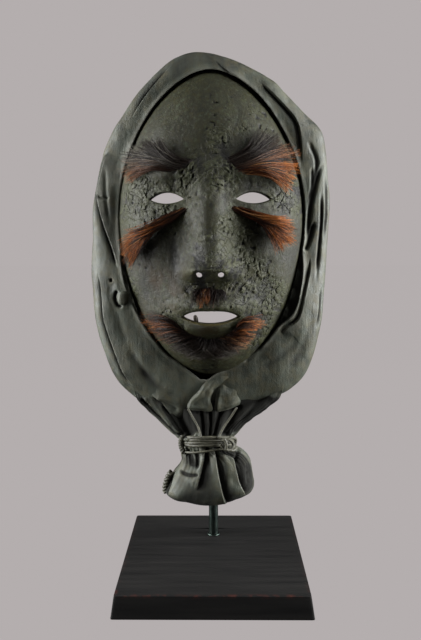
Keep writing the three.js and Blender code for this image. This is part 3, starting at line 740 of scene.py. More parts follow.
def mouth_slot(x, z):
    half, height = MOUTH_SLOT
    t = np.linspace(0, 1, 40)
    rise = height * (1 - (1 - t) ** 2)
    top_x = (1 - t) ** 2 * half + 2 * t * (1 - t) * half * 0.7 + t**2 * 5
    low_x = (1 - t) ** 2 * half + 2 * t * (1 - t) * half * 0.6
    side = np.abs(x - MASK_X)
    past = np.maximum(0, side - half)
    top = MOUTH_Z + np.interp(side, top_x[::-1], rise[::-1]) - past
    bottom = MOUTH_Z - np.interp(side, low_x[::-1], rise[::-1]) + past
    return np.minimum(top - z, z - bottom)


def nostrils(x, z):
    side, height, radius = NOSTRIL
    return radius - np.hypot(np.abs(x - MASK_X) - side, z - height)


def holes(x, z):
    return np.maximum(np.maximum(eye_slots(x, z), mouth_slot(x, z)), nostrils(x, z))


def crust_share(x, z):
    """Where the old surface has broken into flakes: in patches, most along the nose and over one cheek."""
    u = x - MASK_X
    patch = fractal(x, x * 0, z, 34, 3, 11) + 0.75 * bell(u - 6, z - 312, 20, 62)
    patch = patch + 0.8 * bell(u - 40, z - 226, 24, 26) + 0.5 * bell(u - 30, z - 372, 26, 22)
    return smooth(-0.05, 0.55, patch)


def face_relief(x, z):
    """The worn surface's own relief on the plain carved face, positive outwards."""
    crust = crust_share(x, z)
    warp_x = x + 2.2 * value_noise(x, x * 0, z, 6, 31)
    warp_z = z + 2.2 * value_noise(x, x * 0, z, 6, 32)
    border, own = cells(warp_x, warp_z * 0.8, 4.2, 5)
    fine_border, fine_own = cells(warp_x, warp_z, 2.1, 6)
    flakes = (own - 0.45) * 1.1 * smooth(0, 0.22, border) - 0.75 * smooth(0.13, 0, border)
    flakes = flakes + 0.35 * (fine_own - 0.5) - 0.3 * smooth(0.16, 0, fine_border)
    pits = smooth(0.62, 0.9, value_noise(x, x * 0, z, 2.6, 41))
    pits = pits * smooth(-0.2, 0.5, value_noise(x, x * 0, z, 19, 42))
    strokes = 0.35 * fractal(x, x * 0, z * 0.45, 9, 3, 51)
    return 1.05 * crust * flakes - 1.1 * pits + strokes + 0.5 * value_noise(x, x * 0, z, 24, 61)


def carved_face():
    across, up = 250, 400
    a, b = np.meshgrid(np.linspace(-1, 1, across), np.linspace(-1, 1, up))
    dx, dz = a * np.sqrt(1 - b * b / 2), b * np.sqrt(1 - a * a / 2)
    angle = np.arctan2(dz, dx)
    share = np.sin(np.pi / 2 * np.minimum(1, np.hypot(dx, dz))) ** 0.9
    x = MASK_X + share * face_radius(angle) * np.cos(angle)
    z = FACE_MIDDLE_Z + share * face_radius(angle) * np.sin(angle)

    def front(x, z):
        share = face_share(x, z)
        edge = np.clip(1.8 + holes(x, z), 0, 1.8)
        rounding = 1.8 - np.sqrt(1.8**2 - edge**2)
        return face_front(x, z) - face_relief(x, z) * (1 - share**10) - 0.8 * share**12 + rounding

    def back(x, z):
        return face_back(x, z) + 0.35 * fractal(x, x * 0, z * 0.5, 12, 2, 71) * (1 - face_share(x, z) ** 10)

    vertices, groups = sheet_solid(x, z, holes(x, z), front, back)
    half = len(vertices) // 2
    px, pz = vertices[:half, 0], vertices[:half, 2]
    u, share, gap = px - MASK_X, face_share(px, pz), holes(px, pz)
    patches = fractal(px, px * 0, pz, 14, 3, 81)
    red = 0.8 * bell(u + 42, pz - MOUTH_Z - 20, 30, 18) + 0.35 * bell(u - 18, pz - MOUTH_Z - 24, 22, 14)
    red = red + 0.3 * bell(u, pz - MOUTH_Z + 12, 34, 16)
    lower_lip = smooth(-1.6, -0.2, gap) * smooth(MOUTH_Z + 1, MOUTH_Z - 2.5, pz) * (pz > MOUTH_Z - 12)
    rim = smooth(0.965, 0.995, share) * smooth(-0.2, 0.4, patches)
    values = {
        "relief": 0.5 + 0.45 * face_relief(px, pz),
        "crust": crust_share(px, pz),
        "red": red * smooth(-0.4, 0.5, patches),
        "worn": np.maximum(lower_lip, 0.8 * rim),
    }
    plain = {"relief": 0.5, "crust": 0.0, "red": 0.6, "worn": 0.0}
    values = {key: np.concatenate([v, np.full(half, plain[key])]) for key, v in values.items()}
    return make_piece(
        "carved_face", vertices, groups, "mask", "face_wood", CARVED, ["face_shell"], 42, values
    )


carved_face()


# ---- the hide hood -------------------------------------------------------------------------------
HOOD_Y = 12.0
HOOD_BACK_Y = 24.5
REAR_FOLD = 7.0
HIDE_THICKNESS = 2.4
HOOD_OUTLINE = [
    (8, 139.5), (20, 141), (34, 145), (50, 149), (64, 156), (76, 170), (83, 190), (88, 220),
    (91, 262), (93, 300), (90, 330), (87, 350), (82, 362), (67, 376), (43, 401), (12, 415),
    (-10, 419), (-26, 415), (-40, 405), (-57, 390), (-73, 368), (-86, 343), (-92, 315), (-95, 282),
    (-96, 250), (-93, 212), (-87, 187), (-77, 163), (-62, 147), (-47, 135), (-35, 127), (-27, 126),
    (-21, 131), (-14, 137), (-5, 139),
]
LIP_RIGHT = [
    (70, 239), (67.5, 226), (64, 218), (58.5, 212.5), (52, 207),
    (40, 192.5), (26, 182), (9, 173.5), (-4, 165),
]
LIP_LEFT = [(-10, 165.5), (-25.5, 178), (-38.5, 188), (-55, 211), (-66, 234)]


def polar(points):
    x, z = np.asarray(points, float).T
    return np.arctan2(z - FACE_MIDDLE_Z, x - MASK_X) % (2 * np.pi), np.hypot(x - MASK_X, z - FACE_MIDDLE_Z)


def by_angle(points):
    """A function from an angle to a closed outline's distance from the face's middle in that direction."""
    angles, radii = polar(points)
    order = np.argsort(angles)
    angles, radii = angles[order], radii[order]
    return lambda angle: np.interp(angle % (2 * np.pi), angles, radii, period=2 * np.pi)


def lip_outline():
    """The hood's front edge: beside the face with a gap, and over its lower edge in a V."""
    turns = np.radians(np.arange(-22, 203, 3))
    radius = 0.952 * face_radius(turns) + 1.9 + 0.9 * np.cos(turns)
    upper = np.stack([MASK_X + radius * np.cos(turns), FACE_MIDDLE_Z + radius * np.sin(turns)], -1)
    return np.concatenate([upper, spline(LIP_LEFT[::-1], 4), spline(LIP_RIGHT[::-1], 4)])


FURTHER = 1.013
LINE_OF_SIGHT = np.array([5.8, 278.9])


def set_back(points):
    """The outline made larger about the line of sight, as its edge stands further back than drawn."""
    return LINE_OF_SIGHT + (np.asarray(points, float) - LINE_OF_SIGHT) * FURTHER


hood_radius = by_angle(spline(set_back(HOOD_OUTLINE), 14, closed=True))
lip_radius = by_angle(lip_outline())


def lip_y(angle):
    return 2 - 8 * smooth(0.1, 0.9, -np.sin(angle))


def hood_point(angle, share):
    """On the plain hood: share is -1 at the front lip, 0 at the outer edge and 1 at the rear fold."""
    turn = np.pi / 2 * np.abs(share)
    ahead = share <= 0
    inner = np.where(ahead, lip_radius(angle), face_radius(angle) - REAR_FOLD)
    end_y = np.where(ahead, lip_y(angle), HOOD_BACK_Y)
    square = np.where(ahead, 0.8, 0.5)
    radius = inner + (hood_radius(angle) - inner) * np.cos(turn) ** square
    y = HOOD_Y + (end_y - HOOD_Y) * np.sin(turn) ** square
    return np.stack([MASK_X + radius * np.cos(angle), y, FACE_MIDDLE_Z + radius * np.sin(angle)], -1)


def hood_front(x, z):
    """The plain hood's front surface at (x, z), and its lip's height inside the lip."""
    angle = np.arctan2(z - FACE_MIDDLE_Z, x - MASK_X)
    radius = np.hypot(x - MASK_X, z - FACE_MIDDLE_Z)
    inner = lip_radius(angle)
    reach = np.clip((radius - inner) / (hood_radius(angle) - inner), 0, 1) ** 1.25
    return HOOD_Y + (lip_y(angle) - HOOD_Y) * (1 - reach**2) ** 0.4


HOOD_FOLDS = [
    Layer([(38, 396), (45, 389), (58, 376), (66, 365), (69, 350), (70, 334)], 1.6, 14, 2.2, 1.6,
          (0.12, 0.25)),
    Layer([(2, 413), (12, 405), (20, 398), (36, 384), (50, 372)], 0.9, 16, 1.2, 2.2, (0.2, 0.3)),
    Layer([(-30, 410), (-42, 398), (-54, 384), (-64, 368)], 0.8, 8, 1.1, 1.4, (0.3, 0.4)),
    Layer([(-83, 346), (-89, 322), (-90, 309), (-86, 289), (-79, 268), (-75, 254)], 2.6, 9, 2.4, 2.6,
          (0.08, 0.1)),
    Groove([(-90, 311), (-86, 309), (-80, 309)], 1.4, 1.1),
    Groove([(-84, 336), (-83, 310), (-80, 285)], 0.9, 1.6, (0.3, 0.3)),
    Layer([(-91, 250), (-88, 229), (-86, 209), (-79, 187), (-72, 169), (-65, 158)], 1.2, 10, 2.2, 1.8,
          (0.15, 0.15)),
    Groove([(-82, 255), (-79, 230), (-73, 207), (-63, 184)], 0.8, 3.5, (0.3, 0.35)),
    Groove([(-68, 191), (-56, 172), (-51, 162)], 1.1, 3.2, (0.3, 0.3)),
    Groove([(-75, 237), (-77, 231), (-75, 225), (-71, 223.5)], 2.6, 1.1, (0.12, 0.12)),
    Groove([(-80.5, 246), (-80, 243)], 2.2, 0.9, (0.1, 0.1)),
    Layer([(-50, 151), (-43, 146), (-36, 138), (-30, 129)], 1.6, 9, 2.4, 2.4, (0.25, 0.1)),
    Groove([(-45, 147), (-34, 143), (-27, 138)], 1.6, 2.2, (0.2, 0.2)),
    Groove([(-60, 176), (-45, 160), (-30, 150), (-22, 147)], 0.9, 4.0, (0.3, 0.3)),
    Groove([(74, 353), (82, 336), (78, 315)], 1.5, 1.5, (0.2, 0.3)),
    Groove([(87, 336), (82, 321), (77, 299), (75, 271)], 2.2, 1.5, (0.2, 0.25)),
    Groove([(86, 315), (86.5, 290), (85, 268), (82, 240)], 2.0, 1.3, (0.2, 0.3)),
    Groove([(80.5, 291), (77.5, 277), (73, 266)], 2.4, 1.6, (0.25, 0.15)),
    Groove([(89.5, 330), (90.5, 300), (89, 272)], 1.2, 1.4, (0.3, 0.3)),
    Groove([(78.5, 333), (78.5, 317), (76, 306)], 1.6, 1.2, (0.2, 0.2)),
    Layer([(77, 262), (77, 253), (73, 234), (69, 217), (65, 211), (58, 207), (54, 201)], 1.5, 8,
          2.2, 1.4, (0.2, 0.1)),
    Groove([(88, 240), (86, 220), (83, 203)], 1.5, 1.2, (0.25, 0.3)),
    Groove([(80, 226), (76, 200), (66, 180), (52, 168)], 0.8, 4.5, (0.3, 0.35)),
    Groove([(41, 193), (32, 185), (23, 177)], 1.3, 1.3, (0.25, 0.35)),
    Groove([(70, 200), (60, 188), (46, 178), (30, 170)], 0.7, 3.5, (0.3, 0.35)),
]


def hood():
    columns = 1080
    angle = 2 * np.pi * np.arange(columns) / columns
    front_rows, rear_rows = 84, 44
    share = np.concatenate([np.linspace(-1, 0, front_rows, endpoint=False), np.linspace(0, 1, rear_rows)])
    around, along = np.meshgrid(angle, share)
    plain = hood_point(around, along)
    x, y, z = np.moveaxis(plain, -1, 0)
    ahead = smooth(0.3, 0.0, along)
    folds = relief_of(HOOD_FOLDS, x, z) * ahead
    far = np.hypot(x - MASK_X, z - FACE_MIDDLE_Z) - lip_radius(around)
    bead = 0.9 * np.exp(-((far / 2.6) ** 2)) * (along < 0)
    creases = 0.8 * fractal(around * 60, y * 0.6, along * 14, 9, 3, 91)
    sag = 1.3 * fractal(x, y, z, 34, 2, 92)
    behind = smooth(0.1, 0.5, along) * fractal(around * 90, y * 0, along * 4, 6, 2, 93)
    lift = folds + bead + 0.45 * creases + sag * smooth(0, 8, far) + behind
    d_along, d_around = np.gradient(plain, axis=0), np.roll(plain, -1, 1) - np.roll(plain, 1, 1)
    normal = np.cross(d_around, d_along)
    normal /= np.maximum(np.linalg.norm(normal, axis=2, keepdims=True), 1e-9)
    outward = plain - np.array([MASK_X, HOOD_Y, FACE_MIDDLE_Z])
    outward[..., 1] *= 0.4
    normal *= np.sign((normal * outward).sum(2, keepdims=True).mean())
    outer = plain + normal * lift[..., None]
    slim = HIDE_THICKNESS * (0.35 + 0.65 * smooth(0, 5, far))
    keep = np.unique(np.concatenate([np.arange(0, len(share), 4), [len(share) - 1]]))
    inner = (outer - normal * np.where(along < 0, slim, HIDE_THICKNESS)[..., None])[keep][::-1]
    rows = np.concatenate([outer, inner])
    groups = [grid_quads(len(rows), columns, loops=True)]
    # The relief number gives the hide painted shade in creases and beside overlapping layer edges, and
    # painted highlight on raised folds and the lip's bead. It is also lowered towards the crown, and set a
    # little low on the inner side.
    relief = np.clip(0.5 + 0.22 * (lift - sag - 0.4 * creases) + 0.25 * bead, 0, 1)
    relief = relief - 0.12 * smooth(350, 395, outer[..., 2])
    relief = np.concatenate([relief, np.full((len(keep), columns), 0.45)])
    return make_piece(
        "hide_hood",
        rows,
        groups,
        "mask",
        "hood_hide",
        HIDE,
        ["hood_shell", "wrap_right", "wrap_left"],
        values={"relief": relief},
    )


hood()


# ---- the gathered neck and tail ------------------------------------------------------------------
# Each row: height, left and right edge, front and back.
NECK = [
    (162, -64, 58, 4, 21),
    (152, -63, 56, 1, 21),
    (145.5, -60, 52, -2, 21.5),
    (137, -51, 40, -5.5, 21),
    (129, -42, 28, -9.5, 20),
    (120, -33, 19, -13, 18),
    (114, -25, 14.5, -13.8, 16.5),
    (108, -23, 14.5, -13.8, 16.5),
    (103, -25.4, 24, -16, 17),
    (97, -25.6, 29.5, -19, 19.5),
    (91, -28, 31.5, -21, 21),
    (84, -33, 32.6, -22.5, 22.5),
    (77, -37, 33.2, -23.5, 23),
    (71, -39.5, 31, -22, 22),
    (66, -33, 22.5, -19, 18.5),
    (62.3, -21, 11, -13, 13),
    (60.4, -9, 0, -5, 5),
]
NECK_FOLDS = [
    Layer([(-13, 78), (-9.5, 90), (-7, 100), (-5, 112)], 1.6, 5, 4.2, 2.0, (0.2, 0.05)),
    Layer([(12, 62), (8.5, 76), (5, 92), (1.5, 112)], 2.0, 3.2, 3.4, 3.0, (0.15, 0.05)),
    Layer([(27, 72), (21.5, 84), (19, 94), (16.5, 102), (9, 106), (2, 111)], 1.8, 8, 5.5, 2.9, (0.1, 0.1)),
    Groove([(18.5, 100), (20.5, 106), (24.5, 108.5)], 2.6, 1.2, (0.1, 0.2)),
    Groove([(-27, 90.5), (-19, 89.5), (-10, 90.5)], 1.8, 1.1, (0.2, 0.15)),
    Groove([(-21, 108), (-17, 101), (-16, 95)], 2.2, 2.0, (0.1, 0.3)),
    Groove([(-12, 109), (-11.5, 101), (-13, 94)], 2.2, 1.6, (0.1, 0.3)),
    Layer([(-24, 101), (-30, 90), (-34, 78), (-37, 70)], 1.0, 6, 1.6, 2.0, (0.2, 0.15)),
    Groove([(27, 97), (29, 90), (31, 82)], 1.8, 1.8, (0.3, 0.3)),
    Groove([(31, 92), (28, 88), (28.5, 80)], 1.2, 1.0, (0.3, 0.3)),
    Groove([(-30, 66), (-14, 63.5), (4, 64), (18, 68)], 0.8, 1.4, (0.2, 0.2)),
    Layer([(-58, 149), (-46, 137), (-36, 127), (-27, 118)], 1.8, 8, 3.2, 2.4, (0.1, 0.1)),
    Groove([(-31, 143), (-25, 132), (-17, 119)], 6.0, 4.0, (0.15, 0.1)),
    Groove([(-41, 144), (-32, 131), (-23, 119)], 2.6, 1.8, (0.2, 0.1)),
    Groove([(-36, 127), (-30, 122), (-22, 117)], 2.2, 1.2, (0.1, 0.1)),
    Groove([(-9.5, 142), (-7.5, 130), (-7, 119)], 4.0, 1.7, (0.15, 0.05)),
    Groove([(-1.5, 142), (-1.5, 130), (-2.6, 119)], 4.4, 1.5, (0.15, 0.05)),
    Groove([(6.5, 142), (4, 130), (1.5, 119)], 4.0, 1.8, (0.15, 0.05)),
    Groove([(21, 145), (15, 132), (8.5, 119)], 6.0, 3.6, (0.15, 0.1)),
    Groove([(42, 148), (28, 135), (15, 121)], 2.2, 2.2, (0.2, 0.1)),
    Groove([(0, 141), (-10, 141), (-20, 141)], 3.0, 4.0, (0.1, 0.1)),
    Groove([(2, 140), (14, 141), (28, 144), (48, 150)], 3.6, 3.2, (0.1, 0.15)),
]


def neck_and_tail():
    rows, columns = 250, 420
    table = spline(NECK, 16)
    run = np.concatenate([[0], np.cumsum(np.linalg.norm(np.diff(table[:, :3], axis=0), axis=1))])
    even = np.linspace(0, run[-1], rows)
    z, left, right, front, back = (np.interp(even, run, table[:, n])[:, None] for n in range(5))
    turn = (2 * np.pi * np.arange(columns) / columns)[None, :]
    cos, sin = np.cos(turn), np.sin(turn)
    across = np.sign(cos) * np.abs(cos) ** 0.92
    middle, half = (left + right) / 2, (right - left) / 2
    x = middle + half * across
    y = np.where(sin < 0, -np.abs(sin) ** 0.85 * (1 - front) + 1, np.abs(sin) ** 0.85 * (back - 1) + 1)
    z = z + 0 * turn
    plain = np.stack([x, y, z], -1)
    normal = np.cross(np.roll(plain, -1, 1) - np.roll(plain, 1, 1), np.gradient(plain, axis=0))
    normal /= np.maximum(np.linalg.norm(normal, axis=2, keepdims=True), 1e-9)
    normal *= np.sign((normal * (plain - plain.mean((0, 1)))).sum(2).mean())
    ahead = smooth(-0.05, 0.35, -normal[..., 1])
    uneven = turn + 0.16 * value_noise(np.cos(turn) * 2, np.sin(turn) * 2, z / 60, 0.7, 101)
    heights = [61, 68, 84, 96, 104, 109, 116, 122, 134, 146, 156]
    amount = np.interp(z, heights, [0, 0.1, 0.3, 0.9, 2.1, 1.6, 1.6, 2.6, 2.0, 0.7, 0])
    gather = (np.abs(np.sin(7.5 * uneven)) - 0.5) * amount * (1 - 0.65 * ahead)
    gather = gather + (np.abs(np.sin(19 * uneven + 1)) - 0.5) * 0.3 * amount
    folds = relief_of(NECK_FOLDS, x, z) * ahead
    sag = 0.9 * fractal(x, y, z, 17, 3, 102) * smooth(60, 66, z)
    lift = folds + gather + sag
    surface = plain + normal * lift[..., None]
    vertices, groups = skin(surface)
    # Painted shade: the relief number is cut in the recess under the flaps, so the hide there goes nearly
    # black. It is also cut towards the bottom of the tail, which makes the tail darker lower down.
    recess = smooth(118, 127, z) * smooth(152, 146, z) * ahead
    recess_shade_and_tail_dark = 0.42 * recess + 0.23 * smooth(108, 98, z)
    relief = np.clip(0.5 + 0.24 * (folds + gather) + 0.08 * sag - recess_shade_and_tail_dark, 0, 1).ravel()
    values = {"relief": np.concatenate([relief, [0.5, 0.4]])}
    return make_piece(
        "gathered_neck", vertices, groups, "mask", "hood_hide", HIDE, ["hood_tail"], values=values
    )


neck_and_tail()


def hide_flap(name, outline, hang_y, free, rim, nodes):
    """A free end of the hide lying over the hood. Where it isn't free it sinks into the hide behind it."""
    edge = spline(outline, 6, closed=True)
    low, high = edge.min(0) - 2, edge.max(0) + 2
    step = 0.55
    x, z = np.meshgrid(np.arange(low[0], high[0], step), np.arange(low[1], high[1], step))
    closed_edge = np.concatenate([edge, edge[:1]])

    def field(x, z):
        side, _ = beside(x, z, closed_edge)
        return -side

    def front(x, z):
        inside = np.maximum(0, -field(x, z))
        loose = free(x, z)
        rolled = 0.9 * np.exp(-((inside / 1.2) ** 2)) - 0.5 * np.exp(-(((inside - 2.6) / 1.6) ** 2))
        sunk = hood_front(x, z) + 5
        uneven = 0.6 * fractal(x, x * 0, z, 9, 3, 111)
        return hang_y(x, z) * loose + sunk * (1 - loose) + rolled * rim(x, z) + uneven

    def back(x, z):
        return front(x, z) + 2.0

    vertices, groups = sheet_solid(x, z, field(x, z), front, back)
    half = len(vertices) // 2
    inside = np.maximum(0, -field(vertices[:half, 0], vertices[:half, 2]))
    # Painted highlight along the rolled free rim, and painted shade on the flap's back through its low
    # relief number.
    relief = 0.5 + 0.3 * rim(vertices[:half, 0], vertices[:half, 2]) * np.exp(-((inside / 1.1) ** 2))
    values = {"relief": np.concatenate([relief, np.full(half, 0.3)])}
    return make_piece(name, vertices, groups, "mask", "hood_hide", HIDE, nodes, 60, values)


def over_free(x, z):
    return smooth(182, 154, z)


def over_y(x, z):
    return np.minimum(hood_front(x, z) - 2.6, -9.4 + 0.11 * (165 - z) + 0.04 * x)


def over_rim(x, z):
    return over_free(x, z) * smooth(-1, -9, x - 0.4 * (z - 141))


def under_free(x, z):
    return smooth(178, 148, z) * smooth(34, 12, x - 0.25 * (z - 142))


def under_y(x, z):
    return np.minimum(hood_front(x, z) - 1.6, -5.6 + 0.07 * x + 0.03 * (150 - z))


def under_rim(x, z):
    return under_free(x, z) ** 2


hide_flap(
    "flap_over_throat",
    [(17, 177), (9, 173.5), (-5, 163.5), (-12, 155), (-18, 148.5), (-20, 141), (-11, 139.5),
     (-0.5, 139.5), (-1.5, 148), (1, 156), (7, 162), (15, 169)],
    over_y,
    over_free,
    over_rim,
    ["throat_flap_left"],
)
hide_flap(
    "flap_below_throat",
    [(2, 138), (9, 138.6), (16, 140.6), (21, 142.4), (28, 146), (31, 156), (26, 169), (12, 170), (5, 160),
     (3, 151), (1.8, 144)],
    under_y,
    under_free,
    under_rim,
    ["throat_flap_right"],
)


# ---- thongs, laces and toggle --------------------------------------------------------------------
WAIST = (-4.3, 1.4)
WAIST_RADII = (20.3, 17.0)


def waist_point(angle, z, out=0.0):
    """Round the gathered waist, angle from its right side over its back."""
    x = WAIST[0] + (WAIST_RADII[0] + out) * np.cos(angle)
    y = WAIST[1] + (WAIST_RADII[1] + out) * np.sin(angle)
    return np.stack([x, y, z + 0 * angle], -1)


def helix(axis, radius, turns, phase, steps):
    """A path winding round another, with a number of steps to each turn."""
    count = int(turns * steps) + 1
    share = np.linspace(0, 1, count)
    given = np.linspace(0, 1, len(axis))
    core = np.stack([np.interp(share, given, np.asarray(axis, float)[:, n]) for n in range(3)], -1)
    _, side, up = frames_along(core)
    turn = (2 * np.pi * turns * share + phase)[:, None]
    return core + radius * (side * np.cos(turn) + up * np.sin(turn))


def tie():
    """The thong wound four times round the waist, with a thinner part turn under it."""
    turn = np.linspace(0, 2 * np.pi, 150)
    parts = []
    for n in range(4):
        wobble = 0.35 * value_noise(turn * 3, turn * 0 + n, turn * 0, 1, 121)
        z = 112.3 + 2.05 * (n - 1.5) - 4.3 * np.sin(turn) + wobble
        path = waist_point(turn, z, 0.25 * np.sin(3 * turn + 2 * n))
        parts.append(tube(path, 1.4 + 0.12 * np.sin(9 * turn + n), 14))
    lower = np.linspace(np.radians(150), np.radians(305), 80)
    fall = 105.6 + 4.5 * smooth(np.radians(195), np.radians(300), lower)
    parts.append(tube(waist_point(lower, fall, 1.2), 0.95, 12))
    return make_piece("tie_windings", *merged(parts), "mask", "thong", THONG, ["tie_thong"])


def knot():
    """Two loops and a short end where the thong is tied, at the waist's right front."""
    loops = [
        [(6, -17.4, 115), (10, -18, 111), (14.5, -16, 110.5),
         (16.5, -14, 114), (13.5, -15.5, 118), (8, -17.6, 119)],
        [(10, -17.8, 117.5), (15, -14.5, 119.5), (18.5, -10.5, 116.5),
         (17, -12.5, 111.5), (12, -16.5, 110)],
        [(9, -18.4, 120), (11, -18.8, 115.5), (10.5, -18.6, 111)],
        [(13, -16.6, 110.4), (16.5, -13, 108.6), (19, -9, 109.4)],
    ]
    parts = [tube(spline(points, 10), 1.2, 14) for points in loops]
    return make_piece("tie_knot_loops", *merged(parts), "mask", "thong", THONG, ["tie_knot"])


def side_coil():
    """The thong's other end, wound round itself at the waist's left side."""
    axis = [(-23.5, -7, 120), (-25.6, -6.5, 115), (-25.4, -7, 110), (-23.2, -8.5, 105)]
    parts = [tube(helix(spline(axis, 6), 1.35, 4.2, phase, 20), 0.95, 10) for phase in (0, np.pi)]
    return make_piece("tie_side_coil", *merged(parts), "mask", "thong", THONG)


def laces():
    """Two thongs twisted together down the tail's left edge."""
    axis = [(-33.6, -5, 88), (-36, -4, 84.5), (-37.9, -3.5, 79.5), (-38.9, -3.5, 74.5), (-38.8, -4, 70.5)]
    parts = [tube(helix(spline(axis, 6), 1.45, 3.4, phase, 22), 1.3, 12) for phase in (0, np.pi)]
    return make_piece("edge_laces", *merged(parts), "mask", "thong", THONG, ["lace_knots"])


def throat_cords():
    """Two thin cords from the flaps' corners down to the tie."""
    left = [(-19.5, -8.6, 141.5), (-16, -9.6, 135), (-11.5, -12.2, 127.5), (-8.8, -16.2, 120)]
    right = [(19.5, -7.6, 142.5), (14.5, -9.4, 135), (8.8, -12.4, 127.5), (4.6, -16.4, 120)]
    parts = [tube(spline(points, 8), 0.85, 10) for points in (left, right)]
    return make_piece("throat_cords", *merged(parts), "mask", "thong", THONG)


def toggle():
    """A small lug of folded hide sewn to the hood's edge."""
    x, z = -70.2, 230.5
    middle = np.array([x, float(hood_front(x, z)) - 1.2, z])
    turns = 2 * np.pi * np.arange(48) / 48
    rings = []
    for n in range(1, 24):
        height = np.cos(np.pi * n / 24)
        round_share = np.sin(np.pi * n / 24) ** 0.7
        x = 4.4 * round_share * np.sign(np.cos(turns)) * np.abs(np.cos(turns)) ** 0.8
        y = 3.4 * round_share * np.sin(turns)
        z = 5.6 * height + 0 * turns
        lump = 1 + 0.1 * fractal(x, y, z, 4, 2, 131)
        rings.append(np.stack([x * lump, y * lump, z], -1) + middle)
    vertices, groups = skin(rings)
    values = {"relief": 0.5 + 0.1 * fractal(*vertices.T, 3, 2, 132)}
    return make_piece(
        "hood_lug", vertices, groups, "mask", "hood_hide", HIDE, ["hood_toggle"], values=values
    )


for make in (tie, knot, side_coil, laces, throat_cords, toggle):
    make()


# ---- the bristles --------------------------------------------------------------------------------
def on_line(points, share):
    """Points on a polyline at shares of its length."""
    p = np.asarray(points, float)
    run = np.concatenate([[0], np.cumsum(np.hypot(*np.diff(p, axis=0).T))])
    return np.stack([np.interp(share * run[-1], run, p[:, n]) for n in range(2)], -1)


def bristles(name, node, roots, tips, side=1, rise=5.0, thick=3.0, bow=0.0, count=500, radius=0.29, seed=0,
             rust=None, ragged=0.16, lift=0.5, pale=0.0):
    """A tuft of separate bristles in small locks, each a tapered strand from root line to tip line.

    Both lines are (u, z) with u beside the face's middle line, towards +X or, where side is -1, -X.
    """
    random = np.random.default_rng(seed)
    share = np.sort(random.random(count))
    locks = max(8, count // 11)
    lock = np.minimum(locks - 1, (share * locks).astype(int))
    middle = (lock + 0.5) / locks
    start = on_line(roots, share) + random.normal(0, 0.8, (count, 2))
    drift = middle + 0.45 * (share - middle) + random.normal(0, 0.7 / locks, locks)[lock]
    drift = drift + random.normal(0, 0.02, count)
    end = on_line(tips, np.clip(drift, 0, 1)) + random.normal(0, 1.5, (count, 2))
    lock_length = 1 - 0.8 * ragged * random.random(locks)
    length = lock_length[lock] * (1 - ragged * random.random(count) ** 1.6)
    end = start + (end - start) * length[:, None]
    own = 0.5 * random.random(count) + 0.5 * random.random(locks)[lock]
    layer = thick * random.random(count)
    t = np.linspace(0, 1, 10)[None, :]
    flat = start[:, None] * (1 - t)[..., None] + end[:, None] * t[..., None]
    run = end - start
    across = np.stack([-run[:, 1], run[:, 0]], -1) / np.hypot(*run.T)[:, None]
    curve = bow * (2 * share - 1) + random.normal(0, 1.1, count)
    wave = random.normal(0, 0.5, count)
    sway = curve[:, None] * np.sin(np.pi * t) + wave[:, None] * np.sin(2 * np.pi * t)
    flat = flat + across[:, None] * sway[..., None]
    u, z = flat[..., 0], flat[..., 1]
    x = MASK_X + side * u
    ground = np.minimum(face_front(x, z), 1.0)
    chord = ground[:, :1] * (1 - t) + ground[:, -1:] * t
    height = rise * t**1.4 + layer[:, None] * smooth(0, lift, t)
    y = np.minimum(chord, ground) - height + 0.8 * (1 - smooth(0, 0.1, t))
    path = np.stack([x, y, z], -1)
    tangent = np.gradient(path, axis=1)
    tangent /= np.linalg.norm(tangent, axis=2, keepdims=True)
    beside_it = np.cross(tangent, np.array([0.1, 1.0, 0.05]))
    beside_it /= np.linalg.norm(beside_it, axis=2, keepdims=True)
    over = np.cross(tangent, beside_it)
    size = radius * (0.75 + 0.5 * random.random(count))[:, None] * (1 - 0.78 * t**1.5)
    corners = [beside_it, over, -beside_it, -over]
    points = np.stack([path + c * size[..., None] for c in corners], 2)
    steps = t.shape[1]
    base = (np.arange(count) * steps * 4)[:, None, None]
    sides = (base + grid_quads(steps, 4)[None]).reshape(-1, 4)
    caps = np.concatenate([base[:, 0] + [[3, 2, 1, 0]], base[:, 0] + (steps - 1) * 4 + [[0, 1, 2, 3]]])
    along = np.broadcast_to(t[..., None], (count, steps, 4))
    rusty = rust(share, own)[:, None, None] if rust else np.zeros((count, 1, 1))
    values = {
        "along": along,
        "own": np.broadcast_to(own[:, None, None], along.shape),
        "rust": np.broadcast_to(rusty, along.shape),
        "pale": np.full(along.shape, pale),
    }
    slot = "bristle_brown" if node.startswith(("brow", "moustache")) else "bristle_red"
    return make_piece(name, points, [sides, caps], "mask", slot, BRISTLES, [node], values=values)


def lower_rust(start, width, most=1.0):
    """Rusty bristles from a share of the tuft onwards, with a few grey ones among them."""
    return lambda share, own: most * smooth(start - width, start + width, share + 0.25 * (own - 0.5))


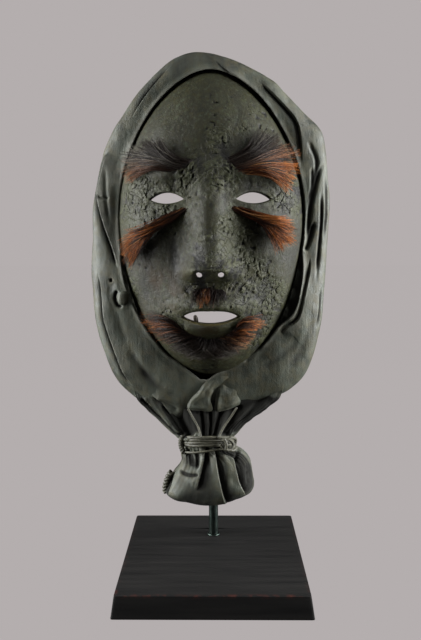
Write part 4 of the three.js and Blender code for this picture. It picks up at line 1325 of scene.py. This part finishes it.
BRISTLE_TUFTS = [
    dict(name="brow_bristles_right", node="brow_right", roots=[(13, 334), (17, 328), (26, 325)],
         tips=[(40, 360), (56, 356), (70, 342), (70, 322), (62, 309)], rise=4, thick=5, bow=5, count=480,
         rust=lower_rust(0.5, 0.25), pale=0.9),
    dict(name="brow_bristles_left", node="brow_left", roots=[(13, 333), (18, 328), (28, 327)],
         tips=[(38, 352), (56, 352), (73, 344), (73, 329), (64, 318)], side=-1, rise=4, thick=5,
         bow=5, count=400, rust=lower_rust(0.85, 0.25, 0.6), pale=0.8),
    dict(name="cheek_bristles_right", node="cheek_tuft_right", roots=[(15, 300), (24, 298), (34, 295)],
         tips=[(62, 291), (67, 282), (63, 272), (50, 265)], rise=11, thick=4, bow=3, count=470,
         rust=lambda share, own: 1 + 0 * share),
    dict(name="cheek_bristles_left", node="cheek_tuft_left", roots=[(15, 300), (24, 297), (34, 293)],
         tips=[(69, 279), (71, 270), (69, 259), (61, 254)], side=-1, rise=11, thick=4, bow=3, count=470,
         rust=lambda share, own: 0.9 + 0 * share),
    dict(name="beard_bristles_right", node="beard_right", roots=[(-3, 200), (8, 202), (19, 206)],
         tips=[(4, 183), (22, 188), (36, 201), (44, 214), (40, 221)], rise=4, thick=5, bow=5, count=470,
         rust=lambda share, own: smooth(0.35, 0.8, share + 0.3 * (own - 0.5)), ragged=0.3, pale=0.25),
    dict(name="beard_bristles_left", node="beard_left", roots=[(-2, 200), (10, 203), (24, 208)],
         tips=[(6, 182), (26, 186), (46, 198), (57, 211), (57, 219)], side=-1, rise=4, thick=5,
         bow=5, count=470, ragged=0.3,
         rust=lambda share, own: 0.8 * smooth(0.5, 1.0, share + 0.3 * (own - 0.5))),
    dict(name="moustache_bristles", node="moustache", roots=[(-10, 239), (0, 240), (9, 239)],
         tips=[(-16, 231), (-6, 227), (4, 227), (12, 231)], rise=2.5, thick=2.5, bow=1, count=190,
         rust=lambda share, own: 0.75 * np.exp(-(((share - 0.42) / 0.18) ** 2)), ragged=0.35),
]
for number, tuft in enumerate(BRISTLE_TUFTS):
    bristles(seed=number + 1, **tuft)


# ---- the stand -----------------------------------------------------------------------------------
POST_Y = 33.0
BASE_TOP, BASE_BOTTOM = 72.5, 75.0
FELT_TOP = 0.8
FELT_HALF = 72
BASE_Z = (FELT_TOP, 18.0)
POST_RADIUS = 4.0
POST_Z = (9.0, 194.0)


def base_plate():
    """The plate with its rounded edges, the post's hole and the counterbore under it."""
    per_side = 40
    ease = np.sin(np.linspace(-np.pi / 2, np.pi / 2, per_side, endpoint=False))
    angle = np.concatenate([np.arctan(ease) + n * np.pi / 2 for n in range(4)])
    corner = 1 / (np.abs(np.cos(angle)) ** 110 + np.abs(np.sin(angle)) ** 110) ** (1 / 110)

    def square(half, z):
        return np.stack([half * corner * np.cos(angle), half * corner * np.sin(angle), 0 * angle + z], -1)

    def circle(radius, z):
        return np.stack([radius * np.cos(angle), POST_Y + radius * np.sin(angle), 0 * angle + z], -1)

    low, high = BASE_Z
    bevel = [(0.0, 0.45), (0.04, 0.28), (0.13, 0.13), (0.28, 0.04), (0.45, 0.0)]
    rings = [circle(2.3, 7), circle(6.8, 7), circle(6.8, low)]
    worn = [0, 0, 0]
    rings += [square(BASE_BOTTOM - inward, low + up) for up, inward in bevel]
    worn += [0] * len(bevel)
    middle_z = np.linspace(low + 1.5, high - 2.5, 5)
    slope = (BASE_BOTTOM - BASE_TOP) / (high - low)
    rings += [square(BASE_BOTTOM - slope * (z - low), z) for z in middle_z]
    worn += [0] * len(middle_z)
    rings += [square(BASE_TOP - inward, high - up) for up, inward in bevel[::-1]]
    worn += [0.4, 1, 1, 1, 0.8]
    rings += [square(BASE_TOP - 3.5, high), square(BASE_TOP - 30, high)]
    rings += [circle(12, high), circle(4.3, high), circle(4.3, 9), circle(2.3, 9)]
    worn += [0] * 6
    rings = np.array(rings)
    ahead = smooth(60, 71, -rings[..., 1]) + 0.25
    values = {"edge": np.array(worn)[:, None] * np.minimum(1, ahead)}
    groups = [grid_quads(len(rings), rings.shape[1], loops=True)]
    return make_piece(
        "display_plate", rings, groups, "stand", "lacquered_wood", LACQUER, ["base_plate"], 32, values
    )


def felt_pad():
    """The felt under the plate, its edge a little soft."""
    side = np.linspace(-1, 1, 90)
    x, y = np.meshgrid(side, side)
    edge = np.maximum(np.abs(x), np.abs(y))
    drop = 0.35 * smooth(0.985, 1.0, edge)
    rough = 0.06 * fractal(FELT_HALF * x, FELT_HALF * y, x * 0, 2.5, 2, 141)
    top = np.stack([FELT_HALF * x, FELT_HALF * y, FELT_TOP - drop], -1)
    low = np.stack([FELT_HALF * x, FELT_HALF * y, np.maximum(0, drop + rough)], -1)[:, ::-1]
    count = top.shape[0]
    sheet = grid_quads(count, count, around=False)
    frame_edge = np.concatenate(
        [
            np.arange(count - 1),
            np.arange(count - 1) * count + count - 1,
            np.arange(count * count - 1, count * (count - 1), -1),
            np.arange(count - 1, 0, -1) * count,
        ]
    )
    mirror = (frame_edge // count) * count + (count - 1 - frame_edge % count) + count * count
    ahead = np.roll(frame_edge, -1)
    mirror_ahead = np.roll(mirror, -1)
    walls = np.stack([ahead, frame_edge, mirror, mirror_ahead], -1)
    vertices = np.concatenate([top.reshape(-1, 3), low.reshape(-1, 3)])
    return make_piece(
        "felt_pad", vertices, [sheet, sheet + count * count, walls], "stand", "felt", FELT,
        ["base_felt"], 50
    )


def stand():
    base_plate()
    felt_pad()
    foot, top = POST_Z
    rod = [
        (POST_RADIUS - 0.5, foot), (POST_RADIUS, foot + 0.5), (POST_RADIUS, 60), (POST_RADIUS, 120),
        (POST_RADIUS, top - 0.6), (POST_RADIUS - 0.6, top),
    ]
    make_piece("stand_post", *lathe(rod, (0, POST_Y, 0)), "stand", "steel_post", STEEL, ["post"], 40)
    collar = [(4.3, 18), (5.5, 18), (5.6, 18.2), (5.5, 18.7), (5.1, 19.05), (4.6, 19.2), (4.3, 19.2)]
    make_piece(
        "stand_collar", *turned_ring(collar, (0, POST_Y, 0)), "stand", "steel_post", STEEL,
        ["post_collar"], 50
    )
    washer = [(2.4, 5.75), (6.3, 5.75), (6.5, 5.95), (6.5, 6.75), (6.3, 6.95), (2.4, 6.95)]
    make_piece(
        "stand_washer", *turned_ring(washer, (0, POST_Y, 0)), "stand", "iron", IRON, ["post_washer"], 40
    )
    screw = [
        (0.4, 2.9), (4.2, 2.85), (4.9, 3.3), (5, 3.9), (5, 5.5), (4.8, 5.7), (2, 5.7), (2, 22), (1.2, 23),
    ]
    make_piece("stand_screw", *lathe(screw, (0, POST_Y, 0)), "stand", "iron", IRON, ["post_screw"], 40)


stand()


# ---- the bracket ---------------------------------------------------------------------------------
GRIP_Z = 168.0


def bracket():
    socket = [
        (5.8, 150), (7.0, 150), (7.2, 150.2), (7.2, 198.6),
        (6.8, 199), (0.01, 199), (0.01, 196.4), (5.8, 196.4),
    ]
    make_piece(
        "turning_socket", *turned_ring(socket, (0, POST_Y, 0)), "mask", "brass", BRASS,
        ["bracket_socket"], 35
    )
    bush = [
        (0.01, 194.1), (4.3, 194.1), (4.3, 148), (7.0, 148), (7.2, 148.2), (7.2, 149.8),
        (7.0, 149.97), (5.5, 149.97), (5.5, 195.6), (5.1, 196), (0.01, 196),
    ]
    make_piece(
        "post_thimble", *turned_ring(bush, (0, POST_Y, 0)), "bush", "nylon", NYLON, ["post_bush"], 35
    )
    grip = [
        (1.2, 5.8), (1.6, 6.2), (1.6, 9.4), (3.4, 9.5), (4.2, 10.0), (4.2, 13.4), (3.7, 14.1), (2.6, 14.4),
    ]
    vertices, groups = lathe(grip, (0, POST_Y, 0), "y", 96)
    x, z = vertices[:, 0], vertices[:, 2]
    knurl = 1 + 0.05 * np.cos(24 * np.arctan2(z, x)) * smooth(3.9, 4.1, np.hypot(x, z))
    vertices[:, 0] = x * knurl
    vertices[:, 2] = z * knurl + GRIP_Z
    make_piece("knurled_screw", vertices, groups, "mask", "brass", BRASS, ["grip_screw"], 40)
    arm = [(26, 23, 191), (36, 22, 198), (41, 21, 211), (45, 18, 233), (48, 13, 251), (50, 6, 263)]
    yoke = [(-x, y, z) for x, y, z in arm[::-1]] + [(0, 23, 189)] + arm
    rod = spline(yoke, 14)
    taper = np.minimum(1, 0.55 + 0.45 * np.arange(len(rod)) / 3)
    make_piece(
        "cheek_yoke", *tube(rod, 2.5 * np.minimum(taper, taper[::-1]), 24), "mask", "brass", BRASS,
        ["bracket_yoke"]
    )
    hook = [
        (-12, 18.8, 184), (-12, 18.8, 195), (-12, 6, 203.2), (-12, -12, 210.2), (-12, -26, 216.6),
        (-12, -40, 217.2), (-12, -44.5, 219.2), (-12, -45.6, 221.2),
    ]
    rod = spline(hook, 12)
    size = 1.4 * np.minimum(1, 0.5 + 0.5 * np.arange(len(rod))[::-1] / 3)
    make_piece("lip_hook", *tube(rod, size, 20), "mask", "brass", IRON, ["mouth_hook"])
    for name, side in (("left", -1), ("right", 1)):
        rings = []
        turns = 2 * np.pi * np.arange(40) / 40
        for n in range(1, 22):
            swing = np.pi * n / 22
            size = 5.5 * np.sin(swing)
            lump = 1 + 0.03 * np.sin(5 * turns + n)
            x, y = size * np.cos(turns) * lump, size * np.sin(turns) * lump
            z = 5.5 * np.cos(swing) + 0 * turns
            rings.append(np.stack([x + side * 51, y + 3, z + 265], -1))
        make_piece(f"cheek_pad_{name}", *skin(rings), "mask", "cork", CORK, [f"pad_{name}"])


bracket()


def nails():
    """Seven round-headed iron nails that hold the hide to the mask's back rim."""
    parts = []
    head = [(0.9, 17), (0.9, 24.5), (2.6, 24.55), (2.55, 24.95), (2.1, 25.4), (1.3, 25.7), (0.4, 25.8)]
    for degrees in (22, 56, 90, 124, 158, 205, 335):
        angle = math.radians(degrees)
        reach = float(face_radius(angle)) - 4
        x, z = MASK_X + reach * math.cos(angle), FACE_MIDDLE_Z + reach * math.sin(angle)
        parts.append(lathe(head, (x, 0, z), "y", 32))
    nodes = [f"hood_nail_{n}" for n in range(1, 8)]
    return make_piece("rim_nails", *merged(parts), "mask", "iron", IRON, nodes, 40)


nails()


# ---- camera, light and floor ---------------------------------------------------------------------
CAMERA_AT = (5.8, -539.8, 278.9)
CAMERA_DOWN, CAMERA_LEFT, CAMERA_ROLL = 0.1229, 0.0134, -0.0045
LENS = 38.22
AMBIENT = 0.2  # the share of the background that lights the object


def camera():
    data = bpy.data.cameras.new("camera")
    data.sensor_fit = "VERTICAL"
    data.sensor_height = 36
    data.lens = LENS
    data.clip_start = 0.02
    holder = bpy.data.objects.new("camera", data)
    SCENE.collection.objects.link(holder)
    turn = Matrix.Rotation(CAMERA_LEFT, 4, "Z") @ Matrix.Rotation(math.pi / 2 - CAMERA_DOWN, 4, "X")
    holder.matrix_world = (
        Matrix.Translation(Vector(CAMERA_AT) * MM) @ turn @ Matrix.Rotation(CAMERA_ROLL, 4, "Z")
    )
    SCENE.camera = holder


def softbox(name, place, aim, width, height, power):
    data = bpy.data.lights.new(name, "AREA")
    data.shape = "RECTANGLE"
    data.size, data.size_y = width * MM, height * MM
    data.energy = power
    holder = bpy.data.objects.new(name, data)
    SCENE.collection.objects.link(holder)
    holder.location = Vector(place) * MM
    holder.rotation_euler = (Vector(place) - Vector(aim)).to_track_quat("Z", "Y").to_euler()
    return holder


def studio():
    grey = (0.456, 0.423, 0.423)
    world = bpy.data.worlds.new("studio")
    world.use_nodes = True
    nodes, links = world.node_tree.nodes, world.node_tree.links
    seen, lighting = nodes["Background"], nodes.new("ShaderNodeBackground")
    for background, strength in ((seen, 1.0), (lighting, AMBIENT)):
        background.inputs["Color"].default_value = (*grey, 1)
        background.inputs["Strength"].default_value = strength
    choose = nodes.new("ShaderNodeMixShader")
    links.new(nodes.new("ShaderNodeLightPath").outputs["Is Camera Ray"], choose.inputs[0])
    links.new(lighting.outputs[0], choose.inputs[1])
    links.new(seen.outputs[0], choose.inputs[2])
    links.new(choose.outputs[0], nodes["World Output"].inputs["Surface"])
    SCENE.world = world
    looks = Looks("pale_floor", Specular_IOR_Level=0.0, Emission_Strength=0.992, Roughness=1.0)
    looks.shader.inputs["Emission Color"].default_value = (*grey, 1)
    looks.shader.inputs["Base Color"].default_value = (0.0015, 0.0014, 0.0014, 1)
    mesh = bpy.data.meshes.new("floor")
    far = 6.0
    mesh.from_pydata([(-far, -far, 0), (far, -far, 0), (far, far, 0), (-far, far, 0)], [], [(0, 1, 2, 3)])
    mesh.materials.append(looks.material)
    floor = bpy.data.objects.new("floor", mesh)
    SCENE.collection.objects.link(floor)
    floor.visible_diffuse = False
    floor.visible_glossy = False
    softbox("light_left", (-850, -70, 330), (0, 0, 250), 500, 900, 30)
    softbox("light_right", (850, -80, 360), (0, 0, 250), 500, 900, 35)
    softbox("light_back", (120, 950, 520), (0, 0, 280), 700, 500, 9).visible_glossy = False
    softbox("light_top", (60, -260, 1150), (0, 0, 300), 600, 500, 2)
    SCENE.view_settings.view_transform = "Standard"


camera()
studio()
